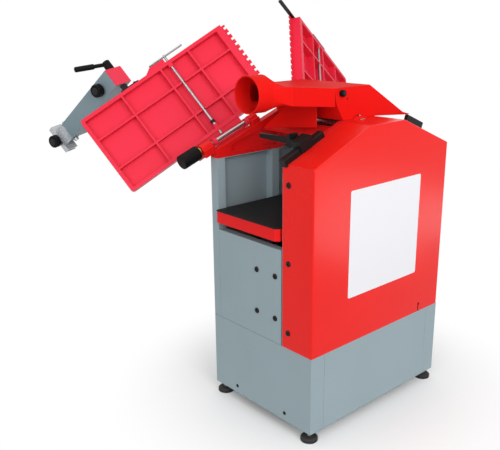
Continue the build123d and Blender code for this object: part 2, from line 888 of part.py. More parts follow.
save("cutter_pulley", grooved_pulley(0, cutter_z, cutter_pulley_radius, journal_radius))
belt_y = (pulley_near + sheet + 1, pulley_far - sheet - 1)
belt_circles = ((0, cutter_z, cutter_pulley_radius), (motor_x, motor_z, motor_pulley_radius))
save("drive_belt", loop_band(belt_circles, belt_fit, belt_thick, belt_y))


# Motor, flanged to the drive wall
motor_face = cover_edge + near_wall_thick
motor_y = (motor_face + motor_flange_thick, motor_face + motor_flange_thick + motor_length)
motor = rod_y(motor_x, motor_z, motor_radius, motor_y)
motor = fillet(motor.edges().filter_by(GeomType.CIRCLE).sort_by(Axis.Y)[-1], 8)
for index in range(motor_fins):
    fin = block((motor_x + motor_radius - motor_fin_depth, motor_x + motor_radius + 1),
                (motor_y[0] + motor_fin_start, motor_y[1] - motor_fin_stop),
                (motor_z - motor_fin_gap / 2, motor_z + motor_fin_gap / 2))
    motor -= fin.rotate(Axis((motor_x, 0, motor_z), (0, 1, 0)), index * 360 / motor_fins)
motor += rod_y(motor_x, motor_z, motor_flange_radius, (motor_face, motor_y[0]))
motor_bore_y = (motor_face - 1, motor_y[0] + motor_bore_depth)
motor -= rod_y(motor_x, motor_z, motor_shaft_radius + run_fit, motor_bore_y)
save("motor", motor)
motor_shaft_y = (pulley_near - motor_shaft_end, motor_y[0] + motor_bore_depth - rod_end_gap)
motor_shaft = rod_y(motor_x, motor_z, motor_shaft_radius, motor_shaft_y)
motor_pulley = grooved_pulley(motor_x, motor_z, motor_pulley_radius, motor_shaft_radius - 1)
save("motor_pulley", motor_pulley + motor_shaft)


# Feed rollers with sprockets, their two chains and the gearbox
inner_chain_far = near_cheek_outer - sprocket_gap
inner_chain_y = (inner_chain_far - sprocket_thick, inner_chain_far)
outer_chain_far = inner_chain_y[0] - chain_spacing
outer_chain_y = (outer_chain_far - sprocket_thick, outer_chain_far)


def roller(x, ribbed, chain_y):
    body = rod_y(x, roller_z, roller_radius, block_y)
    if ribbed:
        for index in range(roller_ribs):
            groove = block((x - 1, x + 1), (block_y[0] - 1, block_y[1] + 1),
                           (roller_z + roller_radius - roller_rib_depth, roller_z + roller_radius + 1))
            body -= groove.rotate(Axis((x, 0, roller_z), (0, 1, 0)), index * 360 / roller_ribs)
    body += rod_y(x, roller_z, roller_shaft_radius, (chain_y[0], far_cheek_outer - 5))
    return body + rod_y(x, roller_z, sprocket_radius, chain_y)


save("ribbed_feed_roller", roller(roller_x, True, inner_chain_y))
save("smooth_feed_roller", roller(-roller_x, False, outer_chain_y))
gearbox_y = (inner_chain_y[1] + 1, cover_edge)
gearbox = block((gearbox_x - gearbox_length / 2, gearbox_x + gearbox_length / 2), gearbox_y,
                (gearbox_z - gearbox_height / 2, gearbox_z + gearbox_height / 2))
gearbox = fillet(gearbox.edges().filter_by(Axis.Y), 12)
gearbox -= rod_y(gearbox_x, gearbox_z, roller_shaft_radius + run_fit, (gearbox_y[0] - 1, gearbox_y[1] - 4))
save("feed_gearbox", gearbox)
gear_sprocket = rod_y(gearbox_x, gearbox_z, roller_shaft_radius, (outer_chain_y[0], gearbox_y[1] - 5))
for chain_y in (inner_chain_y, outer_chain_y):
    gear_sprocket += rod_y(gearbox_x, gearbox_z, sprocket_radius, chain_y)
save("gearbox_sprocket", gear_sprocket)
chains = []
for x, chain_y in ((roller_x, inner_chain_y), (-roller_x, outer_chain_y)):
    circles = ((x, roller_z, sprocket_radius), (gearbox_x, gearbox_z, sprocket_radius))
    chains.append(loop_band(circles, chain_fit, chain_thick, chain_y))
save("feed_chains", *chains)

# Anti-kickback fingers on their rod
finger_rod_end = blind_wall + rod_end_gap
finger_rod_y = (near_cheek_outer + finger_rod_end, far_cheek_outer - finger_rod_end)
save("kickback_rod", rod_y(finger_rod_x, finger_rod_z, finger_rod_radius, finger_rod_y))
finger_pitch = (block_y[1] - block_y[0]) / finger_count
fingers = []
for index in range(finger_count):
    y = block_y[0] + finger_pitch * (index + 0.5)
    y_range = (y - finger_thick / 2, y + finger_thick / 2)
    tip_x = finger_rod_x - finger_tip_back
    head_x = (finger_rod_x - finger_head_radius, finger_rod_x + finger_head_radius)
    finger = slab([(head_x[0], finger_rod_z), (head_x[1], finger_rod_z),
                   (tip_x + finger_tip_width, finger_tip_z), (tip_x, finger_tip_z)], y_range)
    finger += rod_y(finger_rod_x, finger_rod_z, finger_head_radius, y_range)
    fingers.append(finger - rod_y(finger_rod_x, finger_rod_z, finger_rod_radius + run_fit, y_range))
save("kickback_fingers", *fingers)


# Tables, drawn closed on the infeed side and then folded up about the hinge line
def fold_infeed(shape):
    return shape.rotate(Axis(hinge_point, slope_run), -infeed_open)


def fold_outfeed(shape):
    """Mirrored to the outfeed side, then folded up."""
    point = (-hinge_point[0], hinge_point[1], hinge_point[2])
    run = (slope_run[0], 0.0, -slope_run[2])
    return mirror(shape, about=Plane.YZ).rotate(Axis(point, run), -outfeed_open)


table_outer = -comb_gap - table_length
table_rim_end = -comb_gap - lip_length
rib_low = table_top - table_plate
rod_x = table_outer + lock_rod_place
rod_z = table_under + lock_rod_drop


def ear_top_x(start):
    x, y, z = on_hinge(start)
    return x - (rib_low - z) * tan(radians(hinge_slope))


def hinge_ear(start):
    ear = hinge_bar(ear_radius, start, start + ear_length)
    reach = (table_top - hinge_rise) / cos(radians(hinge_slope))
    arm = hinge_plane(start) * Pos(0, reach / 2, ear_length / 2) * Box(2 * ear_radius, reach, ear_length)
    x0 = on_hinge(start)[0]
    x1 = x0 + ear_length * slope_run[0]
    lean = (rib_low - hinge_rise) * tan(radians(hinge_slope))
    keep = block((x0 - lean, x1 + lean), (hinge_y - ear_radius, hinge_y + ear_radius),
                 (hinge_rise - 2 * ear_radius, rib_low))
    top_x = ear_top_x(start)
    ledge = block((top_x - ear_ledge, top_x + ear_length),
                  (table_hinge_edge - table_rim, hinge_y + ear_radius), (rib_low - ear_ledge, rib_low))
    return ear + (arm & keep) + ledge


def table_casting():
    free = table_free
    hinge = table_hinge_edge
    plate = block((table_outer, -comb_gap), (free, hinge), (table_top - lip_thick, table_top))
    plate += block((table_outer, table_rim_end), (free, hinge), (rib_low, table_top))
    rim_z = (table_under, rib_low)
    rim = block((table_outer, table_rim_end), (free, hinge), rim_z)
    rim -= block((table_outer + table_rim, table_rim_end - comb_rim),
                 (free + table_rim, hinge - table_rim), rim_z)
    plate += rim
    for v in long_ribs:
        y = free + v
        plate += block((table_outer, table_rim_end), (y - table_rib / 2, y + table_rib / 2), rim_z)
    for u in cross_ribs:
        x = table_outer + u
        plate += block((x - table_rib / 2, x + table_rib / 2), (free, hinge), rim_z)
    corner = plate.edges().filter_by(Axis.Z).filter_by(lambda e: e.center().X < table_outer + 1)
    plate = fillet(corner, table_rim)
    pitch = table_width / comb_teeth
    for index in range(comb_teeth):
        y = free + pitch * (index + 0.5)
        plate -= block((-comb_gap - comb_slot_depth, -comb_gap + 1),
                       (y - comb_slot_width / 2, y + comb_slot_width / 2),
                       (table_top - lip_thick - 1, table_top + 1))
    for y in ((free, free + 2 * table_rim), (hinge - 2 * table_rim, hinge)):
        within = block((rod_x - 2 * lock_boss_radius, rod_x + 2 * lock_boss_radius), y,
                       (table_under, table_top))
        plate += rod_y(rod_x, rod_z, lock_boss_radius, y) & within
    for start in ear_starts:
        plate += hinge_ear(start)
    plate += block((ear_top_x(ear_starts[0]), ear_top_x(ear_starts[1])),
                   (hinge - table_rim, hinge_y + ear_radius), (rib_low - ear_ledge, rib_low))
    plate -= block((rod_x - lock_slot / 2, rod_x + lock_slot / 2),
                   (free + 2 * table_rim, hinge - 2 * table_rim), (table_under - 1, rod_z + lock_slot / 2))
    plate -= rod_y(rod_x, rod_z, lock_rod_radius + run_fit, (free - lock_hole_past, hinge + lock_hole_past))
    for start in ear_starts:
        plate -= hinge_bar(shaft_radius + run_fit, start - 1, start + ear_length + 1)
    return plate


def stop_lug():
    """The lug on the infeed table's free edge, sloped at its outer end."""
    x = table_outer + stop_lug_place
    out = table_free - stop_lug_out
    face = make_face(Polyline((x, table_free + 1), (x + stop_lug_slope, out), (x + stop_lug_length, out),
                              (x + stop_lug_length, table_free + 1), close=True))
    return extrude(Plane.XY.offset(table_under) * face, amount=table_thick / 2)


casting = table_casting()
save("infeed_table", fold_infeed(casting + stop_lug()))
strip_x = (-comb_gap - strip_length + strip_over, -comb_gap + strip_over)
strip_y = (table_free - strip_pad - strip_thick, table_free - strip_pad)
strip_z = (table_top - strip_height - 2, table_top - 2)
pad = block((strip_x[0], table_rim_end), (table_free - strip_pad, table_free + 1), strip_z)
save("outfeed_table", fold_outfeed(casting + pad))
strip = block(strip_x, strip_y, strip_z)
save("outfeed_strip", fold_outfeed(chamfer(strip.edges().filter_by(Axis.Y).group_by(Axis.X)[-1], 3)))

# Lock rods, each with a handle plate welded on its near end
def table_lock(gap):
    plate_y = (table_free - gap - lock_plate_thick, table_free - gap)
    plate = block((rod_x - lock_plate_back, rod_x + lock_plate_front), plate_y,
                  (rod_z - lock_plate_height / 2, rod_z + lock_plate_height / 2))
    plate = fillet(plate.edges().filter_by(Axis.Y), 3)
    rod_span = (plate_y[0] - lock_rod_out, table_hinge_edge + lock_rod_in)
    return plate + rod_y(rod_x, rod_z, lock_rod_radius, rod_span)


save("infeed_lock", fold_infeed(table_lock(infeed_plate_gap)))
save("outfeed_lock", fold_outfeed(table_lock(outfeed_plate_gap)))

# Hinge shafts, and the depth knob that draws the infeed shaft along its bosses
plain_shaft = hinge_bar(shaft_radius, outer_boss_start + 1, inner_boss_end - 1)
tail_start = outer_boss_start - knob_gap - shaft_tail
shoulder = outer_boss_start + depth_travel + 1
infeed_shaft = hinge_bar(shaft_radius, shoulder, inner_boss_end - 1)
infeed_shaft += hinge_bar(shaft_tail_radius, tail_start, shoulder + 1)
save("infeed_shaft", infeed_shaft)
save("outfeed_shaft", mirror(plain_shaft, about=Plane.YZ))


def depth_knob():
    neck_end = outer_boss_start - knob_gap
    neck_start = neck_end - knob_neck_length
    knob = hinge_bar(knob_radius, neck_start - knob_length, neck_start)
    ends = knob.edges().filter_by(GeomType.CIRCLE)
    knob = fillet(ends, 3)
    for index in range(knob_flutes):
        angle = index * 360 / knob_flutes
        flute = hinge_plane(neck_start - knob_length + 6) * Rot(0, 0, angle) * Pos(knob_radius + 0.6, 0, 0)
        knob -= flute * Cylinder(1.6, knob_length - 12, align=(Align.CENTER, Align.CENTER, Align.MIN))
    knob += hinge_bar(knob_neck_radius, neck_start - 1, neck_end)
    return knob - hinge_bar(shaft_tail_radius + run_fit, neck_end - knob_bore_depth, neck_end + 1)


save("depth_knob", depth_knob())

# Guard carrier: bracket on the table, box arm with its end plug, clamp lever and end holder
guard_x = table_outer + guard_place
guard_z = table_under + guard_pivot_rise
bracket_y = (table_free - guard_bracket_thick, table_free)
arm_far = table_free - guard_stand_off
arm_near = arm_far - arm_width
arm_middle = (arm_near + arm_far) / 2
arm_half = arm_width / 2
bracket_x = (guard_x - guard_bracket_reach[0], guard_x + guard_bracket_reach[1])
guard_bracket = block(bracket_x, bracket_y, (table_under + 2, table_top - 2))
guard_bracket = fillet(guard_bracket.edges().filter_by(Axis.Y), 5)
spigot_web = block((guard_x - guard_web_half, guard_x + guard_web_half),
                   (arm_far + guard_web_gap, table_free - 1), (guard_z - guard_web_drop, guard_z - 2))
spigot_y = (arm_far - guard_spigot_in, table_free - 1)
guard_bracket += rod_y(guard_x, guard_z, guard_spigot_radius, spigot_y) + spigot_web
guard_bracket -= rod_y(guard_x, guard_z, 2 * guard_spigot_radius, (table_free, table_free + 20))
save("guard_bracket", fold_infeed(guard_bracket))

tilt = radians(arm_tilt)
arm_run = (-cos(tilt), 0.0, sin(tilt))
arm_up = (sin(tilt), 0.0, cos(tilt))
arm_plane = Plane(origin=(guard_x, arm_middle, guard_z), x_dir=arm_run, z_dir=arm_up)
bolt_place = arm_length + arm_bolt_out
lever_y = arm_near


def arm_box(x, y, z):
    return arm_plane * block(x, y, z)


def arm_round(x, radius, y, up=0.0):
    """A round bar across the arm, at a place along it and above its pivot line."""
    return arm_plane * rod((x, y[0], up), (0, 1, 0), radius, y[1] - y[0])


def arm_plug():
    """The red block in the low end of the arm, on the bracket's spigot, with the lever's stud."""
    side = arm_half - arm_wall - guard_side_fit
    low = -arm_below + arm_wall + guard_side_fit
    high = arm_above - arm_wall - guard_side_fit
    plug = arm_box((arm_start - 1, guard_plug_end), (-side, side), (low, high))
    plug += arm_box((arm_start - guard_cap_thick, arm_start), (-arm_half, arm_half), (-arm_below, arm_above))
    plug -= arm_round(0, guard_spigot_radius + run_fit, (-side - 1, -arm_half + guard_spigot_in + 1))
    return plug + arm_round(0, guard_stud_radius, (side - 1, arm_half + lever_hub_length - 8))


save("guard_pivot_block", fold_infeed(arm_plug()))


def guard_arm():
    side = arm_half - arm_wall
    arm = arm_box((arm_start, arm_length), (-arm_half, arm_half), (-arm_below, arm_above))
    lug_z = (arm_bolt_up - arm_lug_radius, arm_bolt_up + arm_lug_radius)
    arm += arm_box((arm_length - 1, bolt_place), (-arm_half, arm_half), lug_z)
    arm += arm_round(bolt_place, arm_lug_radius, (-arm_half, arm_half), arm_bolt_up)
    arm -= arm_box((arm_start - 1, bolt_place + 2 * arm_lug_radius), (-side, side),
                   (-arm_below + arm_wall, arm_above - arm_wall))
    arm -= arm_round(0, guard_spigot_radius + 2 * run_fit, (-arm_half - 1, -side + 1))
    arm -= arm_round(0, guard_stud_radius + run_fit, (side - 1, arm_half + 1))
    arm -= arm_round(bolt_place, arm_bolt_radius + run_fit, (-arm_half - 1, arm_half + 1), arm_bolt_up)
    return arm


save("guard_arm", fold_infeed(guard_arm()))


def round_knob(radius, height, flutes):
    """A black star knob standing on its stem, along +Z from the origin."""
    knob = Cylinder(radius, height, align=(Align.CENTER, Align.CENTER, Align.MIN))
    knob = fillet(knob.edges().filter_by(GeomType.CIRCLE), height / 6)
    for index in range(flutes):
        knob -= Rot(0, 0, index * 360 / flutes) * Pos(radius + 1.2, 0, 0) * Cylinder(2.6, 3 * height)
    return knob


def hanging_knob(place, height):
    """A star knob on its stem, hanging under a place on the arm."""
    stem = Cylinder(knob_stem_radius, knob_stem_length, align=(Align.CENTER, Align.CENTER, Align.MIN))
    knob = Pos(0, 0, knob_stem_show) * round_knob(arm_knob_radius, height, arm_knob_flutes)
    return arm_plane * place * Rot(180, 0, 0) * (stem + knob)


save("guard_arm_knob", fold_infeed(hanging_knob(Pos(arm_knob_place, 0, -arm_below), arm_knob_height)))

lever_hub = rod((guard_x, lever_y, guard_z), (0, -1, 0), lever_hub_radius, lever_hub_length)
lever_hub = chamfer(lever_hub.edges().filter_by(GeomType.CIRCLE).sort_by(Axis.Y)[0], 3)
rise = radians(lever_rise)
lever_run = (-cos(rise), -sin(rise), 0.0)
lever_start = (guard_x, lever_y - lever_hub_length + lever_radius + 4, guard_z)
grip_start = tuple(p + lever_grip_start * d for p, d in zip(lever_start, lever_run))
grip = rod(grip_start, lever_run, lever_grip_radius, lever_length - lever_grip_start)
grip = fillet(grip.edges().filter_by(GeomType.CIRCLE), lever_grip_radius * 0.6)
lever = lever_hub + rod(lever_start, lever_run, lever_radius, lever_grip_start + 5) + grip
lever -= rod_y(guard_x, guard_z, guard_stud_radius + run_fit, (lever_y - lever_hub_length + 7, lever_y + 1))
save("guard_lever", fold_infeed(lever))


def guard_holder():
    face = arm_length + holder_gap
    z = (holder_up - holder_height / 2, holder_up + holder_height / 2)
    holder = arm_box((face, face + holder_plate), (-holder_far, holder_near), z)
    holder -= arm_box((face + holder_front, face + holder_plate - holder_back),
                      (-holder_far - 1, holder_near + 1), (z[0] + holder_floor, z[1] + 1))
    side = arm_half - arm_wall - guard_side_fit
    tongue_z = (arm_bolt_up - holder_tongue / 2, arm_bolt_up + holder_tongue / 2)
    tongue = arm_box((bolt_place, face + 1), (-side, side), tongue_z)
    tongue += arm_round(bolt_place, holder_tongue / 2, (-side, side), arm_bolt_up)
    bolt_end = arm_half + 3
    holder += tongue + arm_round(bolt_place, arm_bolt_radius, (-bolt_end - 6, bolt_end + 4), arm_bolt_up)
    for y in ((-bolt_end - 6, -bolt_end + 2), (bolt_end - 2, bolt_end + 4)):
        holder += arm_round(bolt_place, 2 * arm_bolt_radius, y, arm_bolt_up)
    return holder


save("guard_holder", fold_infeed(guard_holder()))
holder_low = holder_up - holder_height / 2
holder_knob_place = Pos(arm_length + holder_gap + holder_plate / 2, -holder_knob_off, holder_low)
save("guard_holder_knob", fold_infeed(hanging_knob(holder_knob_place, holder_knob_height)))


# Dust hood: a box over the cutterblock, a fish-tail duct and a round port
def shrink(outline, wall):
    face = make_face(Polyline(*outline, close=True))
    return offset(face, amount=-wall)


def hood_duct(wall):
    """Round at the port, square at the shoulder, then widening to the mouth over the cutterblock."""
    def across(x, y, z):
        return Plane(origin=(x, y, z), x_dir=(0, 1, 0), z_dir=(1, 0, 0))

    def section(x, y, z):
        place = across(x, (y[0] + y[1]) / 2, (z[0] + z[1]) / 2)
        return place * Rectangle(y[1] - y[0] - 2 * wall, z[1] - z[0] - 2 * wall)

    circle = across(port_x + port_length, port_y, port_z) * Circle(port_radius - wall)
    shoulder = section(duct_shoulder_x, duct_shoulder_y, duct_shoulder_z)
    mouth = section(hood_mouth_x + 1, (hood_near, hood_shell_far), (hood_duct_low, hood_top))
    return loft([circle, shoulder]) + loft([shoulder, mouth])


def sole_line(x):
    """Height of the hood's lower edge over a place towards its tail."""
    return hood_low - max(x - hood_sole_x, 0) * (hood_low - hood_toe_low) / (hood_toe_x - hood_sole_x)


def dust_hood():
    hood = slab(hood_outline, (hood_near, hood_shell_far))
    inside = (hood_near + hood_wall, hood_shell_far + 1)
    inner_face = shrink(hood_outline, hood_wall)
    inner = extrude(Plane.XZ.offset(-inside[1]) * inner_face, amount=inside[1] - inside[0])
    foot_in = hood_foot_x + hood_wall
    tail_in = hood_toe_x - hood_toe_solid
    under = slab([(foot_in, hood_low - 1), (hood_sole_x, hood_low - 1), (tail_in, sole_line(tail_in) - 1),
                  (tail_in, sole_line(tail_in) + hood_sole), (hood_sole_x, hood_low + hood_sole),
                  (foot_in, hood_low + hood_sole)], inside)
    port_start = (port_x, port_y, port_z)
    hood += hood_duct(0) + rod(port_start, (1, 0, 0), port_radius, port_length)
    hollow = rod((port_x - 1, port_y, port_z), (1, 0, 0), port_radius - hood_wall, port_length + 1)
    passage = block((hood_mouth_x - hood_mouth_out, hood_mouth_x + hood_mouth_in),
                    (hood_near + hood_wall, hood_shell_far - hood_wall),
                    (hood_duct_low + hood_wall + hood_mouth_sill, hood_top - hood_wall))
    hood -= inner + under + hood_duct(hood_wall) + hollow + passage
    near_plate = (hood_near - 1, hood_near + hood_wall + 1)
    hood -= rod_y(0, cutter_z, hub_radius + hood_arch_fit, near_plate)
    hood -= rod_y(hood_hole_x, cover_top + hood_hole_rise, hood_hole_radius, near_plate)
    return hood


def hood_end_plate():
    """The plate welded over the hood's far end, clear above the cutterblock."""
    low = table_top + hood_far_clear
    tail_x = hood_roof_x + (hood_knee_x - hood_roof_x) * (hood_top - low) / (hood_top - hood_knee_z)
    lip_x = hood_lip_x + (hood_foot_x - hood_lip_x) * (hood_lip_z - low) / (hood_lip_z - hood_low)
    return slab([(hood_mouth_x, hood_top), (hood_roof_x, hood_top), (tail_x, low), (lip_x, low),
                 (hood_lip_x, hood_lip_z)], (hood_shell_far, hood_far))


def hood_skirt():
    """The plate hanging under the duct, in front of the cutterblock."""
    face = make_face(Polyline(*hood_skirt_outline, close=True))
    skirt = extrude(Plane.YZ.offset(hood_skirt_x - hood_wall / 2) * face, amount=hood_wall)
    return skirt - hood_duct(0)


save("dust_hood", dust_hood())
save("hood_end_plate", hood_end_plate())
save("hood_skirt", hood_skirt())
hood_knob = Pos(hood_knob_x, hood_near, hood_knob_z) * Rot(90, 0, 0)
save("hood_knob", hood_knob * round_knob(hood_knob_radius, hood_knob_length, 10))

# Near-side guide bars with the sliding shoe, its lever, and the outfeed rest block
bar = guide_bar(0)
bar = chamfer(bar.edges(), 1.5)


def bar_along(place):
    return (bar_outer - place) / cos(radians(cover_slope))


rest_along = bar_along(rest_block_place)
rest_low = bar_side / 2 - 2
rest = bar_plane * block((-rest_block_off - rest_block_width, -rest_block_off), (rest_low, rest_block_height),
                         (rest_along - rest_block_length / 2, rest_along + rest_block_length / 2))
outfeed_bar = mirror(bar + chamfer(rest.edges().group_by(SortBy.LENGTH)[-1], 2), about=Plane.YZ)
save("guide_bars", bar, outfeed_bar)

shoe_along = bar_along(shoe_place)
shoe = bar_plane * block((-shoe_width / 2, shoe_width / 2), (0.5, shoe_height),
                         (shoe_along - shoe_length / 2, shoe_along + shoe_length / 2))
shoe = fillet(shoe.edges().filter_by(Axis.Y), 3)
shoe -= guide_bar(run_fit)
shoe_inner = bar_y + shoe_width / 2
shoe_centre = (bar_plane * Pos(0, shoe_height / 2, shoe_along)).position
catch_x = (shoe_centre.X - catch_width / 2, shoe_centre.X + catch_width / 2)
lug_top = shoe_centre.Z - shoe_lever_height / 2
catch_low = lug_top - lever_lug
catch = block(catch_x, (shoe_inner - 3, shoe_inner + catch_reach), (catch_low, shoe_centre.Z + 6))
catch += block(catch_x, (shoe_inner + catch_reach - 8, shoe_inner + catch_reach), (catch_low, catch_top))
lever_half = shoe_lever_width / 2
pivot_y = shoe_inner + catch_reach + lever_gap + lever_half
lug_y = (shoe_inner + catch_reach - 8, pivot_y + lever_half)
catch += block(catch_x, lug_y, (catch_low, lug_top))
catch += rod((shoe_centre.X, pivot_y, lug_top - 1), (0, 0, 1), lever_pin_radius, shoe_lever_height + 2)
save("table_shoe", shoe + catch)

lever_z = (lug_top + lever_gap, lug_top + shoe_lever_height)
tip_y = pivot_y + shoe_lever_length
tip_z = lever_z[0] + shoe_lever_rise
lever_face = make_face(Polyline((pivot_y, lever_z[0]), (tip_y, tip_z), (tip_y, tip_z + shoe_lever_tip),
                                (pivot_y, lever_z[1]), close=True))
shoe_lever = extrude(Plane.YZ.offset(shoe_centre.X - lever_half) * lever_face, amount=shoe_lever_width)
shoe_lever = chamfer(shoe_lever.edges().group_by(Axis.Y)[-1], 2)
shoe_lever += rod((shoe_centre.X, pivot_y, lever_z[0]), (0, 0, 1), lever_half, lever_z[1] - lever_z[0])
shoe_pin_hole = rod((shoe_centre.X, pivot_y, lug_top - 1), (0, 0, 1), lever_pin_radius + run_fit,
                    shoe_lever_height + 4)
save("shoe_lever", shoe_lever - shoe_pin_hole)


# Thicknessing table, its lift screw, guide columns and crank
def cut_corner(shape):
    upright = shape.edges().filter_by(Axis.Z).sort_by(lambda e: e.center().X + e.center().Y)
    return chamfer(upright[0], tray_chamfer)


tray_y = (passage_near, passage_far)
tray = cut_corner(block((-tray_half, tray_half), tray_y, (tray_low, tray_top)))
tray -= block((-tray_half + tray_wall, tray_half - tray_wall), (tray_y[0] + tray_wall, tray_y[1] - tray_wall),
              (tray_low - 1, tray_top - tray_wall)) - block((-tray_half, -tray_half + 2 * tray_chamfer),
                                                            (tray_y[0], tray_y[0] + 2 * tray_chamfer),
                                                            (tray_low - 1, tray_top))
for x in (-tray_half / 3, tray_half / 3):
    tray += block((x - tray_wall / 2, x + tray_wall / 2), tray_y, (tray_low, tray_top))
save("thicknesser_tray", tray)
plate_half = tray_half + plate_overhang
save("thicknesser_top", cut_corner(block((-plate_half, plate_half), tray_y, (tray_top, thick_top))))

tray_ceiling = tray_top - tray_wall
up = (0, 0, 1)
tube_base = (0, passage_middle, lift_tube_bottom)
tube = rod(tube_base, up, lift_tube_radius, tray_ceiling - lift_tube_bottom)
tube_inner_start = (0, passage_middle, lift_tube_bottom + lift_nut_height)
tube -= rod(tube_inner_start, up, lift_tube_radius - lift_tube_wall, tray_ceiling - lift_tube_bottom)
save("lift_tube", tube - rod((0, passage_middle, lift_tube_bottom - 1), up, screw_shank_radius + run_fit,
                             lift_nut_height + 2))
columns = [rod((0, y, column_bottom), up, column_radius, tray_ceiling - column_bottom) for y in column_ys]
save("guide_columns", *columns)

sleeves = []
for y in column_ys:
    sleeve = rod((0, y, sleeve_bottom), up, sleeve_radius, sleeve_top - sleeve_bottom)
    sleeve += rod((0, y, stand_top), up, sleeve_flange, sleeve_flange_thick)
    sleeves.append(sleeve - rod((0, y, sleeve_bottom - 1), up, column_radius + run_fit,
                                sleeve_top - sleeve_bottom + 2))

thrust = rod((0, passage_middle, stand_top), up, thrust_radius, thrust_height)
thrust -= rod((0, passage_middle, stand_top + thrust_floor), up, screw_shank_radius + run_fit, thrust_height)
crank_block = block((crank_block_x, crank_block_x + crank_block_length),
                    (passage_middle - crank_block_width / 2, passage_middle + crank_block_width / 2),
                    (stand_top, crank_z + crank_block_rise))
crank_block -= rod((crank_block_x - 1, passage_middle, crank_z), (1, 0, 0), crank_radius + run_fit,
                   crank_block_length + 2)
save("lift_bearings", *sleeves, thrust, crank_block)

bevel_face = bevel_radius - bevel_inner
screw_gear_start = (0, passage_middle, crank_z - bevel_radius - bevel_gap)
screw_gear = rod(screw_gear_start, up, bevel_radius, bevel_face, bevel_inner)
screw_bottom = stand_top + thrust_floor + screw_end_gap
lead_screw = rod((0, passage_middle, screw_bottom), up, screw_shank_radius, screw_top - screw_bottom)
groove_low = lift_tube_bottom + screw_groove_start
groove_count = int((screw_top - groove_low - screw_plain_top) / screw_groove_pitch)
for index in range(groove_count):
    z = groove_low + index * screw_groove_pitch
    ring = rod((0, passage_middle, z), up, screw_shank_radius + 1, screw_groove_width)
    core = rod((0, passage_middle, z), up, screw_shank_radius - screw_groove, screw_groove_width)
    lead_screw -= ring - core
save("lead_screw", lead_screw + screw_gear)

wheel_x = half_length + wheel_gap
crank_gear_x = bevel_inner + bevel_gap
crank = rod((crank_gear_x, passage_middle, crank_z), (1, 0, 0), bevel_inner, bevel_face, bevel_radius)
crank += rod((crank_gear_x + 2, passage_middle, crank_z), (1, 0, 0), crank_radius,
             wheel_x + wheel_hub_length - crank_gear_x - 2)
save("crank_shaft", crank)


def handwheel():
    middle = (wheel_x + wheel_hub_length / 2, passage_middle, crank_z)
    rim_plane = Plane(origin=middle, x_dir=(0, 1, 0), z_dir=(1, 0, 0))
    wheel = rim_plane * Torus(wheel_radius, wheel_rim_radius)
    wheel += rod((wheel_x, passage_middle, crank_z), (1, 0, 0), wheel_hub_radius, wheel_hub_length)
    for angle in (90, 210, 330):
        spoke = rim_plane * Rot(0, 0, angle) * Pos(wheel_radius / 2, 0, 0)
        wheel += spoke * Box(wheel_radius, wheel_rim_radius * 1.6, wheel_rim_radius)
    grip_foot = rim_plane * Rot(0, 0, 90) * Pos(wheel_radius, 0, wheel_rim_radius / 2)
    wheel += grip_foot * Cone(grip_radius * 0.7, grip_radius, grip_length,
                              align=(Align.CENTER, Align.CENTER, Align.MIN))
    return wheel - rod((wheel_x - 1, passage_middle, crank_z), (1, 0, 0), crank_radius, wheel_hub_length + 2)


save("handwheel", handwheel())


# Switch box on the rear panel, with start and stop buttons and a cable gland below
def switch_box():
    y = (switch_y - switch_width / 2, switch_y + switch_width / 2)
    z = (switch_z - switch_height / 2, switch_z + switch_height / 2)
    box = block((half_length, half_length + switch_depth), y, z)
    box = fillet(box.edges().filter_by(Axis.X), 8)
    box = fillet(box.faces().sort_by(Axis.X)[-1].edges(), 4)
    for side in (-1, 1):
        centre = (half_length + switch_depth - button_depth, switch_y, switch_z + side * button_spread)
        box -= rod(centre, (1, 0, 0), button_radius + button_fit, button_depth + 1)
    gland_top = (half_length + switch_depth / 2, switch_y, z[0] + 1)
    return box + rod(gland_top, (0, 0, -1), gland_radius, gland_length, gland_radius * 0.7)


def push_button(side):
    floor = half_length + switch_depth - button_depth + button_stand - 2
    button = rod((floor, switch_y, switch_z + side * button_spread), (1, 0, 0), button_radius,
                 half_length + switch_depth + button_stand - 2 - floor)
    return fillet(button.edges().filter_by(GeomType.CIRCLE).sort_by(Axis.X)[-1], 2)


save("switch_box", switch_box())
save("start_button", push_button(1))
save("stop_button", push_button(-1))

print("cover slope", round(cover_slope, 2), "cutter axis height", cutter_z, "nodes", len(os.listdir("parts")))
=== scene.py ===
# %% [markdown]
# # A planer-thicknesser with its tables folded up
#
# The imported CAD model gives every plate, casting and shaft its place and its motion.
# This lesson dresses that model: paint, cast texture, machined steel and moulded plastic,
# and the small pieces that a workshop eye expects, such as socket screws and a plain label.

# %% Load the frame
import json
from math import cos, pi, radians, sin, tau

import bmesh
import bpy
from mathutils import Matrix, Vector


